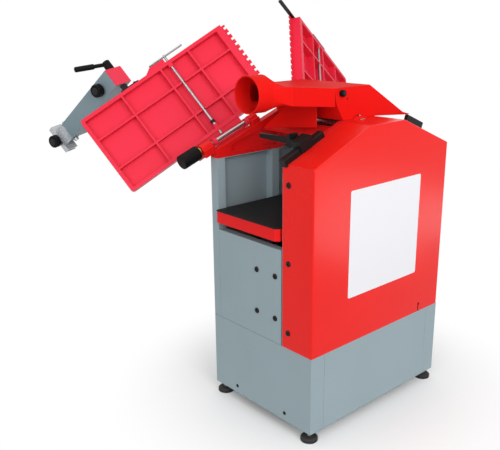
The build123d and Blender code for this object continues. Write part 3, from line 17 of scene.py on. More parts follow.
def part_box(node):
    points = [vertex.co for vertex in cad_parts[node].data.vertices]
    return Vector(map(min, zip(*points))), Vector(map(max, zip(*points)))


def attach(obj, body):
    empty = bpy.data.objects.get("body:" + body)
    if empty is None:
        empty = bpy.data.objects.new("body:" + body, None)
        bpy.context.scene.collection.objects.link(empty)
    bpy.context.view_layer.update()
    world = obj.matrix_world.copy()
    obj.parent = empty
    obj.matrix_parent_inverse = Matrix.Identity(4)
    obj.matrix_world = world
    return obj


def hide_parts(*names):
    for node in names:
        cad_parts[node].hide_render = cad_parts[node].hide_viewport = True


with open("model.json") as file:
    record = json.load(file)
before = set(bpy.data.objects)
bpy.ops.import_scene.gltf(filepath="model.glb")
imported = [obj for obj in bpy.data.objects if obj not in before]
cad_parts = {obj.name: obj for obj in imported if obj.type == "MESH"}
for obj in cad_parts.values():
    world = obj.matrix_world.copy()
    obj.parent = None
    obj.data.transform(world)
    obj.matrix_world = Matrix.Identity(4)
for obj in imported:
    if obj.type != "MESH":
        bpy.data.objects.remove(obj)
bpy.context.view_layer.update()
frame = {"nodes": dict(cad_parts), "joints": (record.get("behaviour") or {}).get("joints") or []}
nodes = frame["nodes"]
joints = {joint["name"]: joint for joint in frame["joints"]}

# %% [markdown]
# ## Soft edges, once for every finish
#
# No real edge is perfectly sharp: paint rounds it, and hands polish it. A Bevel node looks at the
# surface around a point and gives the normal that a small rounding would have. The group hands out
# that normal, and a mask that is bright where it differs from the flat one, which is where edges are.

# %% Soft edge group
BEVEL_SAMPLES = 4


def new_group(name, inputs, outputs):
    """A shader node group with float inputs and outputs of the given kinds."""
    group = bpy.data.node_groups.new(name, "ShaderNodeTree")
    for label, value in inputs.items():
        socket = group.interface.new_socket(label, in_out="INPUT", socket_type="NodeSocketFloat")
        socket.default_value = value
    for label, kind in outputs.items():
        group.interface.new_socket(label, in_out="OUTPUT", socket_type=kind)
    entry = group.nodes.new("NodeGroupInput")
    leave = group.nodes.new("NodeGroupOutput")
    return group, entry, leave


def math_node(tree, operation, first, second=None):
    """A Math node; each side is a socket or a number."""
    node = tree.nodes.new("ShaderNodeMath")
    node.operation = operation
    for socket, value in zip(node.inputs, (first, second)):
        if value is None:
            continue
        if isinstance(value, (int, float)):
            socket.default_value = value
        else:
            tree.links.new(value, socket)
    return node.outputs[0]


def soft_edge_group():
    group, entry, leave = new_group("soft_edge", {"Radius": 0.001, "Sharpness": 6.0},
                                    {"Normal": "NodeSocketVector", "Edge": "NodeSocketFloat"})
    bevel = group.nodes.new("ShaderNodeBevel")
    bevel.samples = BEVEL_SAMPLES
    group.links.new(entry.outputs["Radius"], bevel.inputs["Radius"])
    flat = group.nodes.new("ShaderNodeNewGeometry")
    dot = group.nodes.new("ShaderNodeVectorMath")
    dot.operation = "DOT_PRODUCT"
    group.links.new(bevel.outputs["Normal"], dot.inputs[0])
    group.links.new(flat.outputs["Normal"], dot.inputs[1])
    bend = math_node(group, "SUBTRACT", 1.0, dot.outputs["Value"])
    strong = math_node(group, "MULTIPLY", bend, entry.outputs["Sharpness"])
    group.links.new(math_node(group, "MINIMUM", strong, 1.0), leave.inputs["Edge"])
    group.links.new(bevel.outputs["Normal"], leave.inputs["Normal"])
    return group


soft_edge = soft_edge_group()
print("group", soft_edge.name)

# %% [markdown]
# ## Grain and dust, shared by paint, castings and plastic
#
# Sprayed paint has a faint orange peel, sand castings have a coarse one, and plastic has the fine
# spark-eroded texture of its mould. All three are the same thing at another size, so one group makes
# them. Dust settles on faces that look up, in patches, so its mask is the upward part of the normal
# times a slow noise.

# %% Grain group and dust group
def noise(tree, place, detail, scale=None):
    """A Noise Texture node at a place socket, with a fixed scale unless one is linked later."""
    node = tree.nodes.new("ShaderNodeTexNoise")
    node.inputs["Detail"].default_value = detail
    if scale is not None:
        node.inputs["Scale"].default_value = scale
    tree.links.new(place, node.inputs["Vector"])
    return node


def grain_group():
    group, entry, leave = new_group("grain", {"Scale": 400.0, "Spread": 0.5},
                                    {"Height": "NodeSocketFloat", "Shade": "NodeSocketFloat"})
    place = group.nodes.new("ShaderNodeTexCoord")
    fine = noise(group, place.outputs["Object"], detail=3.0)
    group.links.new(entry.outputs["Scale"], fine.inputs["Scale"])
    group.links.new(entry.outputs["Spread"], fine.inputs["Roughness"])
    slow = noise(group, place.outputs["Object"], detail=4.0, scale=5.0)
    group.links.new(fine.outputs["Fac"], leave.inputs["Height"])
    group.links.new(slow.outputs["Fac"], leave.inputs["Shade"])
    return group


def dust_group():
    group, entry, leave = new_group("settled_dust", {"Amount": 0.15}, {"Dust": "NodeSocketFloat"})
    geometry = group.nodes.new("ShaderNodeNewGeometry")
    split = group.nodes.new("ShaderNodeSeparateXYZ")
    group.links.new(geometry.outputs["Normal"], split.inputs[0])
    upward = math_node(group, "MAXIMUM", split.outputs["Z"], 0.0)
    place = group.nodes.new("ShaderNodeTexCoord")
    patches = noise(group, place.outputs["Object"], detail=6.0, scale=14.0)
    patchy = math_node(group, "MULTIPLY", upward, patches.outputs["Fac"])
    group.links.new(math_node(group, "MULTIPLY", patchy, entry.outputs["Amount"]), leave.inputs["Dust"])
    return group


grain = grain_group()
dust = dust_group()
print("groups", grain.name, dust.name)

# %% [markdown]
# ## Painted and moulded finishes
#
# One recipe covers every coloured finish: a base colour that drifts a little, worn paler at the
# edges, dusted on top, with the grain as bump. What differs is the numbers. The cover's paint is the
# smoothest, with a thin coat layer, and shine sets how much of the white room each finish mirrors.

# %% Coloured finish recipe
def linear(value):
    """One sRGB channel, 0 to 255, as linear light."""
    value /= 255
    return value / 12.92 if value <= 0.04045 else ((value + 0.055) / 1.055) ** 2.4


def colour(red, green, blue):
    """An sRGB colour as Blender's linear one."""
    return (linear(red), linear(green), linear(blue), 1.0)


def place_group(tree, group, **values):
    """A node that uses a group, with the given values on its inputs."""
    node = tree.nodes.new("ShaderNodeGroup")
    node.node_tree = group
    for label, value in values.items():
        node.inputs[label].default_value = value
    return node


def mix_colour(tree, factor, first, second):
    """A colour Mix node: its factor is input 0, its colours are inputs 6 and 7, its result is output 2."""
    node = tree.nodes.new("ShaderNodeMix")
    node.data_type = "RGBA"
    for place, value in ((0, factor), (6, first), (7, second)):
        if isinstance(value, bpy.types.NodeSocket):
            tree.links.new(value, node.inputs[place])
        else:
            node.inputs[place].default_value = value
    return node.outputs[2]


def new_material(name):
    """A material with its node tree and its main shader."""
    material = bpy.data.materials.new(name)
    material.use_nodes = True
    tree = material.node_tree
    shader = tree.nodes["Principled BSDF"]
    return material, tree, shader


DUST_COLOUR = colour(205, 192, 170)
EDGE_SHARPNESS = 5.0
GRAIN_SPREAD = 0.55
ROUGHNESS_DRIFT = 0.18
COAT_ROUGHNESS = 0.12
GRAIN_HEIGHT = 0.001
EDGE_WEAR = 0.35
PAINT_SHINE = 0.15


def dimmed(base, share):
    """A colour at a share of its light, still opaque."""
    return tuple(channel * share for channel in base[:3]) + (1.0,)


def drifting_roughness(tree, shade, drift, least):
    """A roughness that a shade lifts above its least value."""
    rough = math_node(tree, "MULTIPLY_ADD", shade, drift)
    rough.node.inputs[2].default_value = least
    return rough


def raise_surface(tree, shader, height, normal, strength, distance):
    """Puts a bump on top of the soft-edge normal."""
    lift = tree.nodes.new("ShaderNodeBump")
    lift.inputs["Strength"].default_value = strength
    lift.inputs["Distance"].default_value = distance
    tree.links.new(height, lift.inputs["Height"])
    tree.links.new(normal, lift.inputs["Normal"])
    tree.links.new(lift.outputs["Normal"], shader.inputs["Normal"])


def coated(name, base, worn, roughness=0.4, scale=500.0, bump=0.05, edge=0.0008, wear=EDGE_WEAR, drift=0.12,
           dusty=0.06, coat=0.0, metallic=0.0, shine=PAINT_SHINE):
    """Paint or plastic: a base colour, a worn edge colour, and a grain of the given scale."""
    material, tree, shader = new_material(name)
    edges = place_group(tree, soft_edge, Radius=edge, Sharpness=EDGE_SHARPNESS)
    texture = place_group(tree, grain, Scale=scale, Spread=GRAIN_SPREAD)
    settled = place_group(tree, dust, Amount=dusty)
    body = mix_colour(tree, texture.outputs["Shade"], dimmed(base, 1 - drift), base)
    worn_mask = math_node(tree, "MULTIPLY", edges.outputs["Edge"], texture.outputs["Shade"])
    body = mix_colour(tree, math_node(tree, "MULTIPLY", worn_mask, wear), body, worn)
    body = mix_colour(tree, settled.outputs["Dust"], body, DUST_COLOUR)
    tree.links.new(body, shader.inputs["Base Color"])
    least = roughness - ROUGHNESS_DRIFT / 2
    rough = drifting_roughness(tree, texture.outputs["Shade"], ROUGHNESS_DRIFT, least)
    tree.links.new(math_node(tree, "ADD", rough, settled.outputs["Dust"]), shader.inputs["Roughness"])
    shader.inputs["Metallic"].default_value = metallic
    shader.inputs["Specular IOR Level"].default_value = shine
    shader.inputs["Coat Weight"].default_value = coat
    shader.inputs["Coat Roughness"].default_value = COAT_ROUGHNESS
    raise_surface(tree, shader, texture.outputs["Height"], edges.outputs["Normal"], bump, GRAIN_HEIGHT)
    return material


gloss_red = coated("gloss_red_paint", colour(232, 20, 13), colour(240, 110, 96), roughness=0.24, scale=260,
                   bump=0.02, edge=0.0016, coat=0.05, dusty=0.03, shine=0.18)
cast_red = coated("red_casting_paint", colour(226, 20, 22), colour(238, 112, 104), roughness=0.42, scale=420,
                  bump=0.16, edge=0.0018, dusty=0.03)
pink_red = coated("red_cap_paint", colour(236, 52, 80), colour(244, 130, 140), roughness=0.42, scale=420,
                  bump=0.12, edge=0.0016, dusty=0.03)
hood_red = coated("red_hood_moulding", colour(228, 24, 20), colour(240, 120, 104), roughness=0.50, scale=900,
                  bump=0.05, edge=0.0014, dusty=0.02, shine=0.02)
panel_grey = coated("grey_panel_paint", colour(147, 164, 170), colour(196, 204, 206), roughness=0.42,
                    scale=300, bump=0.04, edge=0.0010, coat=0.04)
arm_grey = coated("grey_arm_paint", colour(128, 146, 154), colour(186, 194, 198), roughness=0.38, scale=300,
                  bump=0.05, edge=0.0009)
plate_black = coated("black_plate_paint", colour(22, 22, 24), colour(96, 96, 98), roughness=0.46, scale=700,
                     bump=0.10, edge=0.0008, wear=0.6, dusty=0.02, shine=0.10)
steel_black = coated("blackened_steel", colour(22, 21, 22), colour(110, 108, 104), roughness=0.40, scale=500,
                     bump=0.06, edge=0.0007, wear=0.5, dusty=0.02)
plastic_black = coated("black_moulding", colour(12, 12, 14), colour(62, 62, 66), roughness=0.46, scale=1200,
                       bump=0.08, edge=0.0008, dusty=0.02, shine=0.08)
pad_rubber = coated("black_rubber", colour(26, 26, 28), colour(80, 78, 78), roughness=0.72, scale=900,
                    bump=0.12, shine=0.4)
button_red = coated("red_button", colour(206, 24, 22), colour(240, 140, 130), roughness=0.30, scale=900,
                    bump=0.03, shine=0.3)
button_green = coated("green_button", colour(24, 128, 56), colour(130, 196, 146), roughness=0.30, scale=900,
                      bump=0.03, shine=0.3)
iron_grey = coated("plain_casting", colour(112, 114, 116), colour(168, 168, 168), roughness=0.5, scale=420,
                   bump=0.18, edge=0.0012, metallic=0.6)
alloy = coated("matt_alloy", colour(188, 191, 194), colour(226, 228, 230), roughness=0.36, scale=600,
               bump=0.06, edge=0.0008, metallic=0.85, dusty=0.03)
label_white = coated("label_film", colour(226, 226, 230), colour(240, 240, 242), roughness=0.38, scale=120,
                     bump=0.01, edge=0.0003, drift=0.03, dusty=0.02, shine=0.10)
cap_grey = coated("grey_cap", colour(32, 32, 35), colour(110, 110, 112), roughness=0.42, scale=900, bump=0.05)
mark_white = coated("white_mark", colour(236, 236, 232), colour(250, 250, 250), roughness=0.4, drift=0.03)
print("coloured finishes", len(bpy.data.materials))

# %% [markdown]
# ## Bright steel, and tables with a machined face
#
# Turned and ground steel shows fine lines along the tool's path. A noise that is stretched in one
# direction gives them, and an even noise does for drawn rod and brass. The table castings are painted
# all over except for the planed face, so their material asks how far a point lies below the plane of
# that face, and is bare for the first 0.4 mm. The plane comes from the hinge joint, because the CAD
# holds the tables folded.

# %% Bright steel
STEEL_EDGE = 0.0006
STEEL_DIM = 0.78
STEEL_DRIFT = 0.22
STEEL_SMOOTHER = 0.08
LINE_STRENGTH = 0.06
LINE_HEIGHT = 0.0005


def brushed_lines(tree, stretch):
    """Fine lines along one axis, used both as a height and as a shade."""
    place = tree.nodes.new("ShaderNodeTexCoord")
    mapping = tree.nodes.new("ShaderNodeMapping")
    mapping.inputs["Scale"].default_value = stretch
    tree.links.new(place.outputs["Object"], mapping.inputs["Vector"])
    return noise(tree, mapping.outputs["Vector"], detail=5.0, scale=60.0).outputs["Fac"]


def bright_steel(name, base, stretch, roughness=0.26):
    """Bare metal with the lines of a tool."""
    material, tree, shader = new_material(name)
    edges = place_group(tree, soft_edge, Radius=STEEL_EDGE, Sharpness=EDGE_SHARPNESS)
    lines = brushed_lines(tree, stretch)
    tree.links.new(mix_colour(tree, lines, dimmed(base, STEEL_DIM), base), shader.inputs["Base Color"])
    rough = drifting_roughness(tree, lines, STEEL_DRIFT, roughness - STEEL_SMOOTHER)
    tree.links.new(rough, shader.inputs["Roughness"])
    shader.inputs["Metallic"].default_value = 1.0
    raise_surface(tree, shader, lines, edges.outputs["Normal"], LINE_STRENGTH, LINE_HEIGHT)
    return material


turned_steel = bright_steel("turned_steel", colour(198, 198, 194), (1.0, 22.0, 1.0))
ground_steel = bright_steel("ground_steel", colour(188, 189, 188), (3.0, 1.0, 3.0), roughness=0.30)
drawn_steel = bright_steel("drawn_steel", colour(168, 170, 172), (2.0, 2.0, 2.0), roughness=0.40)
brass = bright_steel("turned_brass", colour(206, 170, 96), (4.0, 4.0, 4.0), roughness=0.28)
print("steel finishes", turned_steel.name, ground_steel.name, drawn_steel.name, brass.name)


# %% Machined table faces
def closing_turn(joint):
    """The matrix that takes a closed table to its rest place, folded up."""
    point = Vector(joint["pos_m"])
    fold = Matrix.Rotation(-radians(joint["range_deg"][1]), 4, Vector(joint["axis"]))
    return Matrix.Translation(point) @ fold @ Matrix.Translation(-point)


infeed_rest = closing_turn(joints["infeed_table_fold"])
outfeed_rest = closing_turn(joints["outfeed_table_fold"])
TABLE_TOP = 0.913
FACE_DEPTH = 0.0004
TABLE_EDGE = 0.0018
TABLE_GRAIN = 420.0
PLANER_LINES = 900.0
PLANER_DETAIL = 4.0
TABLE_RED = colour(232, 44, 70)
TABLE_WORN = colour(244, 130, 140)
TABLE_DIM = 0.88
BARE_DARK = colour(150, 151, 150)
BARE_PALE = colour(206, 207, 206)
BARE_METAL = 0.95
TABLE_ROUGHNESS = 0.32
TABLE_DRIFT = 0.16
BARE_SMOOTHER = 0.1
TABLE_BUMP = 0.12


def along_axis(tree, place, direction):
    """How far a point lies along a direction, measured from the origin."""
    node = tree.nodes.new("ShaderNodeVectorMath")
    node.operation = "DOT_PRODUCT"
    node.inputs[1].default_value = direction
    tree.links.new(place, node.inputs[0])
    return node.outputs["Value"]


def table_finish(name, rest):
    """Red casting paint with a bare planed face."""
    material, tree, shader = new_material(name)
    place = tree.nodes.new("ShaderNodeTexCoord").outputs["Object"]
    normal = (rest.to_3x3() @ Vector((0, 0, 1))).normalized()
    offset = normal.dot(rest @ Vector((0, 0, TABLE_TOP)))
    planed = math_node(tree, "GREATER_THAN", along_axis(tree, place, normal), offset - FACE_DEPTH)
    edges = place_group(tree, soft_edge, Radius=TABLE_EDGE, Sharpness=EDGE_SHARPNESS)
    texture = place_group(tree, grain, Scale=TABLE_GRAIN, Spread=GRAIN_SPREAD)
    across = (rest.to_3x3() @ Vector((0, 1, 0))).normalized()
    lines = tree.nodes.new("ShaderNodeTexNoise")
    lines.noise_dimensions = "1D"
    lines.inputs["Scale"].default_value = PLANER_LINES
    lines.inputs["Detail"].default_value = PLANER_DETAIL
    tree.links.new(along_axis(tree, place, across), lines.inputs["W"])
    paint = mix_colour(tree, texture.outputs["Shade"], dimmed(TABLE_RED, TABLE_DIM), TABLE_RED)
    worn = math_node(tree, "MULTIPLY", edges.outputs["Edge"], texture.outputs["Shade"])
    paint = mix_colour(tree, math_node(tree, "MULTIPLY", worn, EDGE_WEAR), paint, TABLE_WORN)
    bare = mix_colour(tree, lines.outputs["Fac"], BARE_DARK, BARE_PALE)
    tree.links.new(mix_colour(tree, planed, paint, bare), shader.inputs["Base Color"])
    tree.links.new(math_node(tree, "MULTIPLY", planed, BARE_METAL), shader.inputs["Metallic"])
    shader.inputs["Specular IOR Level"].default_value = PAINT_SHINE
    rough = drifting_roughness(tree, texture.outputs["Shade"], TABLE_DRIFT, TABLE_ROUGHNESS)
    smoother = math_node(tree, "MULTIPLY", planed, BARE_SMOOTHER)
    tree.links.new(math_node(tree, "SUBTRACT", rough, smoother), shader.inputs["Roughness"])
    height = mix_colour(tree, planed, texture.outputs["Height"], lines.outputs["Fac"])
    raise_surface(tree, shader, height, edges.outputs["Normal"], TABLE_BUMP, GRAIN_HEIGHT)
    return material


infeed_finish = table_finish("infeed_table_finish", infeed_rest)
outfeed_finish = table_finish("outfeed_table_finish", outfeed_rest)
print("table finishes", infeed_finish.name, outfeed_finish.name)

# %% [markdown]
# ## Give each CAD node its finish
#
# The solids keep their shape and take a finish by name. A list of finish and nodes reads like the
# maker's paint schedule.

# %% Paint schedule
schedule = (
    (gloss_red, ("drive_cover",)),
    (cast_red, ("base_casting", "thicknesser_tray")),
    (pink_red, ("guard_pivot_block",)),
    (hood_red, ("dust_hood", "hood_end_plate", "hood_skirt")),
    (infeed_finish, ("infeed_table",)),
    (outfeed_finish, ("outfeed_table",)),
    (panel_grey, ("stand_front_panel", "stand_rear_panel", "stand_side_panels", "stand_deck", "far_wall",
                  "near_wall", "front_panel", "rear_panel")),
    (arm_grey, ("guard_arm",)),
    (plate_black, ("thicknesser_top",)),
    (steel_black, ("guide_bars", "table_shoe", "shoe_lever", "guard_bracket", "body_screws",
                   "outfeed_strip")),
    (plastic_black, ("depth_knob", "guard_arm_knob", "guard_lever", "guard_holder_knob", "hood_knob",
                     "handwheel", "switch_box")),
    (pad_rubber, ("foot_pads", "drive_belt")),
    (button_red, ("stop_button",)),
    (button_green, ("start_button",)),
    (iron_grey, ("cutter_pulley", "motor_pulley", "feed_gearbox", "lift_bearings")),
    (alloy, ("guard_holder", "motor")),
    (turned_steel, ("cutterblock", "cutter_knives", "cutter_bearings", "kickback_rod",
                    "kickback_fingers", "smooth_feed_roller", "ribbed_feed_roller", "gearbox_sprocket",
                    "feed_chains", "foot_studs")),
    (ground_steel, ("infeed_shaft", "outfeed_shaft", "lead_screw", "lift_tube", "guide_columns",
                    "crank_shaft")),
    (drawn_steel, ("infeed_lock", "outfeed_lock")),
)
dressed = set()
for finish, names in schedule:
    for name in names:
        nodes[name].data.materials.clear()
        nodes[name].data.materials.append(finish)
        dressed.add(name)
print("dressed", len(dressed), "left over", sorted(set(nodes) - dressed))

# %% [markdown]
# ## The label plate
#
# The real machine has a large white label on its cover. Here it is bare: a thin plate with rounded
# corners, stuck to the sheet metal.

# %% Label plate
def finish_piece(name, mesh, material, body):
    """Makes a bmesh into a piece that rides on a body."""
    bmesh.ops.recalc_face_normals(mesh, faces=mesh.faces[:])
    data = bpy.data.meshes.new(name)
    mesh.to_mesh(data)
    mesh.free()
    piece = bpy.data.objects.new(name, data)
    bpy.context.scene.collection.objects.link(piece)
    data.materials.append(material)
    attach(piece, body)
    return piece


def rounded_plate(centre, width, height, thick, corner):
    """An upright plate that faces -Y, with rounded corners."""
    mesh = bmesh.new()
    bmesh.ops.create_cube(mesh, size=1.0)
    bmesh.ops.scale(mesh, vec=(width, thick, height), verts=mesh.verts[:])
    upright = [e for e in mesh.edges if abs(e.verts[0].co.y - e.verts[1].co.y) > thick / 2]
    bmesh.ops.bevel(mesh, geom=upright, offset=corner, offset_type="OFFSET", affect="EDGES", segments=6,
                    profile=0.5, material=-1)
    bmesh.ops.translate(mesh, vec=centre, verts=mesh.verts[:])
    return mesh


LABEL_X = 0.0075
LABEL_Z = 0.569
LABEL_WIDTH = 0.315
LABEL_HEIGHT = 0.314
LABEL_THICK = 0.0006
LABEL_CORNER = 0.006
cover_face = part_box("drive_cover")[0].y
label_centre = (LABEL_X, cover_face - LABEL_THICK / 2, LABEL_Z)
label = rounded_plate(label_centre, LABEL_WIDTH, LABEL_HEIGHT, LABEL_THICK, LABEL_CORNER)
finish_piece("label_plate", label, label_white, "frame")
print("label plate on", cover_face)

# %% [markdown]
# ## Socket screws
#
# The panels and the cover are held by black button-head screws with a hexagon socket. The CAD holds
# them as plain domes. Here one half outline is spun round, and the ring of points at the socket's
# wall is then drawn in to a hexagon, which is quicker than cutting one. Two black domes fill the
# holes in the stand's front, where a pair of wheels can be bolted on, so that the holes show dark.

# %% Turned shapes and the socket screw
SCREW_STEPS = 24
ROUND_STEPS = 32
DOME_ANGLES = (0.0, 0.4, 0.8, 1.1)
DOME_FOOT = 0.35
MERGE_DISTANCE = 1e-6
SOCKET_TOLERANCE = 1e-5


def spun(profile, steps):
    """A closed turned shape from radius and height points, round the Z axis."""
    mesh = bmesh.new()
    points = [mesh.verts.new((radius, 0.0, height)) for radius, height in profile]
    edges = [mesh.edges.new(pair) for pair in zip(points, points[1:])]
    bmesh.ops.spin(mesh, geom=points + edges, cent=(0, 0, 0), axis=(0, 0, 1), dvec=(0, 0, 0), angle=tau,
                   steps=steps, use_merge=True)
    bmesh.ops.remove_doubles(mesh, verts=mesh.verts[:], dist=MERGE_DISTANCE)
    return mesh


def socket_screw(head, height, shank, length, socket, depth):
    """A button-head screw that stands on Z = 0, with a hexagon socket in its head."""
    dome = [(head * cos(angle), height * (DOME_FOOT + (1 - DOME_FOOT) * sin(angle))) for angle in DOME_ANGLES]
    profile = [(0.0, -length), (shank, -length), (shank, 0.0), (head, 0.0)] + dome
    profile += [(socket, height), (socket, height - depth), (0.0, height - depth)]
    mesh = spun(profile, SCREW_STEPS)
    for vert in mesh.verts:
        radius = vert.co.xy.length
        if abs(radius - socket) > SOCKET_TOLERANCE or vert.co.z < 0:
            continue
        turn = vert.co.xy.angle_signed(Vector((1, 0))) % (pi / 3) - pi / 6
        vert.co.xy *= cos(pi / 6) / cos(turn)
    return mesh


def gather(target, source, matrix):
    """Moves a finished bmesh into place inside another one."""
    bmesh.ops.transform(source, matrix=matrix, verts=source.verts[:])
    holder = bpy.data.meshes.new("holder")
    source.to_mesh(holder)
    source.free()
    target.from_mesh(holder)
    bpy.data.meshes.remove(holder)


def facing(place, direction):
    """A matrix that stands a shape at a place, its Z axis along a direction."""
    turn = Vector(direction).to_track_quat("Z", "Y").to_matrix().to_4x4()
    return Matrix.Translation(place) @ turn


# %% Panel screws and black domes in the wheel holes
BODY_END = 0.295
PANEL_SCREWS = ((0.0105, 0.4775), (-0.067, 0.477), (0.0105, 0.348), (-0.067, 0.348))
COVER_SCREWS = ((-0.12, 0.75), (-0.12, 0.528), (-0.12, 0.3195))
PANEL_SCREW = dict(head=0.0085, height=0.0042, shank=0.003, length=0.012, socket=0.0036, depth=0.0024)
screws = bmesh.new()
for y, z in PANEL_SCREWS + COVER_SCREWS:
    for side in (-1, 1):
        gather(screws, socket_screw(**PANEL_SCREW), facing((side * BODY_END, y, z), (side, 0, 0)))
piece = finish_piece("socket_screws", screws, steel_black, "frame")
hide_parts("body_screws")
print("socket screws", 2 * len(PANEL_SCREWS + COVER_SCREWS))

# Black domes sit in the two wheel holes so that the holes show dark.
WHEEL_HOLES = ((-0.107, 0.056), (0.107, 0.056))
HOLE_CAP_PROFILE = ((0.0, -0.003), (0.0042, -0.003), (0.0042, 0.0), (0.0058, 0.0), (0.0052, 0.0012),
                (0.0, 0.0018))
dark_hole_caps = bmesh.new()
for y, z in WHEEL_HOLES:
    gather(dark_hole_caps, spun(HOLE_CAP_PROFILE, SCREW_STEPS), facing((-BODY_END, y, z), (-1, 0, 0)))
finish_piece("dark_hole_fill", dark_hole_caps, plastic_black, "frame")
print("hole plugs", len(WHEEL_HOLES))

# %% [markdown]
# ## Threads on the levelling feet
#
# A spin with a small step along its axis is a screw. A small triangle, swept up round each stud, leaves
# a thread ridge with the real pitch of a 10 mm stud.

# %% Foot threads
STUD_RADIUS = 0.005
THREAD_PITCH = 0.0015
THREAD_LOW = 0.0135
THREAD_TURNS = 6
THREAD_STEPS = 18
THREAD_SUNK = 0.0003
THREAD_PROUD = 0.0006
THREAD_SHARE = 0.7
STUD_X = 0.275
STUD_Y = 0.1895


def thread_ridge():
    """A ridge of three-sided section that winds up from Z = 0."""
    mesh = bmesh.new()
    root = STUD_RADIUS - THREAD_SUNK
    width = THREAD_PITCH * THREAD_SHARE
    section = ((root, 0.0), (STUD_RADIUS + THREAD_PROUD, width / 2), (root, width))
    points = [mesh.verts.new((radius, 0.0, height)) for radius, height in section]
    edges = [mesh.edges.new((points[a], points[b])) for a, b in ((0, 1), (1, 2), (2, 0))]
    steps = THREAD_STEPS * THREAD_TURNS
    bmesh.ops.spin(mesh, geom=points + edges, cent=(0, 0, 0), axis=(0, 0, 1),
                   dvec=(0, 0, THREAD_PITCH / THREAD_STEPS), angle=tau * THREAD_TURNS, steps=steps)
    bmesh.ops.holes_fill(mesh, edges=[e for e in mesh.edges if e.is_boundary], sides=4)
    return mesh


threads = bmesh.new()
for x in (-STUD_X, STUD_X):
    for y in (-STUD_Y, STUD_Y):
        gather(threads, thread_ridge(), Matrix.Translation((x, y, THREAD_LOW)))
finish_piece("foot_threads", threads, turned_steel, "frame")
print("threads", 4)

# %% [markdown]
# ## Turned collars
#
# A black collar keeps each lock rod from sliding out at its hinge end, and a brass one turns in the
# neck of the depth knob. Both are the same half outline, with small broken corners, spun round. Each
# is turned at the origin and then carried to its place, so its edges stay round from every side.

# %% Collars on the lock rods and in the knob's neck
ROD_X = -0.241
ROD_Z = 0.886
ROD_COLLAR_Y = 0.137
COLLAR_BEAD = 0.0008


def collar(inner, outer, length):
    """A ring on Z = 0 with broken outer corners."""
    bead = COLLAR_BEAD
    profile = [(inner, 0.0), (outer - bead, 0.0), (outer, bead), (outer, length - bead),
               (outer - bead, length), (inner, length), (inner, 0.0)]
    return spun(profile, ROUND_STEPS)


for side, rest, mirror_x in (("infeed", infeed_rest, 1), ("outfeed", outfeed_rest, -1)):
    rings = bmesh.new()
    ring = collar(inner=0.0039, outer=0.0078, length=0.009)
    gather(rings, ring, rest @ facing((mirror_x * ROD_X, ROD_COLLAR_Y, ROD_Z), (0, 1, 0)))
    finish_piece(f"{side}_lock_collar", rings, steel_black, f"{side}_lock")
HINGE = Vector(joints["infeed_table_fold"]["pos_m"])
HINGE_RUN = Vector(joints["infeed_table_fold"]["axis"]).normalized()
NECK_PLACE = -0.0565
rings = bmesh.new()
ring = collar(inner=0.0099, outer=0.0128, length=0.006)
gather(rings, ring, facing(HINGE + HINGE_RUN * NECK_PLACE, HINGE_RUN))
finish_piece("knob_collar", rings, brass, "depth_knob")
print("collars", 3)

# %% [markdown]
# ## Caps in the knobs, a pin in the lever
#
# Moulded knobs have a pressed-in cap over their nut, and the clamp lever's hub shows the bright end of
# its stud. A shallow dome is enough: five points of outline, spun. The joints say where each knob turns
# and which way it faces, so only the distance to its end has to be typed in.

# %% Caps and pin
CAP_SUNK = 0.0005
CAP_WALL = 0.0006
CAP_SHOULDER = 0.0016
CAP_TOP = 0.0022
CAP_CROWN = 0.85


def cap(radius):
    """A low dome on Z = 0."""
    profile = [(0.0, -CAP_SUNK), (radius, -CAP_SUNK), (radius, CAP_WALL), (radius * CAP_CROWN, CAP_SHOULDER),
               (0.0, CAP_TOP)]
    return spun(profile, ROUND_STEPS)


def capped(name, joint_name, finish, stand, radius):
    """A cap on the end of a knob, so far out along its joint's axis."""
    joint = joints[joint_name]
    outward = Vector(joint["axis"]).normalized() * (1 if stand > 0 else -1)
    mesh = bmesh.new()
    gather(mesh, cap(radius), facing(Vector(joint["pos_m"]) + outward * abs(stand), outward))
    finish_piece(name, mesh, finish, joint["child"])


capped("arm_knob_cap", "guard_arm_knob_turn", cap_grey, stand=0.028, radius=0.011)
capped("holder_knob_cap", "guard_holder_knob_turn", cap_grey, stand=0.026, radius=0.011)
capped("hood_knob_cap", "hood_knob_turn", cap_grey, stand=0.012, radius=0.0055)
capped("lever_pin", "guard_lever_turn", turned_steel, stand=-0.034, radius=0.0058)
print("caps", 3, "pins", 1)

# %% [markdown]
# ## Bolts, gib screws and button marks
#
# Two bolts hold the guard's bracket, and a row of set screws wedges each knife in the cutterblock. They
# use the socket screw from before at other sizes. The marks on the buttons are the plain line and ring
# that mean on and off: the line is a bevelled bar and the ring is one more turned collar.

# %% Bracket bolts and gib screws
BRACKET_FACE = -0.0934
BOLT_X = -0.362
BOLT_HEIGHTS = (0.8905, 0.9035)
BRACKET_BOLT = dict(head=0.0052, height=0.004, shank=0.0025, length=0.003, socket=0.0022, depth=0.002)
bolts = bmesh.new()
for z in BOLT_HEIGHTS:
    gather(bolts, socket_screw(**BRACKET_BOLT), infeed_rest @ facing((BOLT_X, BRACKET_FACE, z), (0, -1, 0)))
finish_piece("bracket_bolts", bolts, steel_black, "infeed_table")

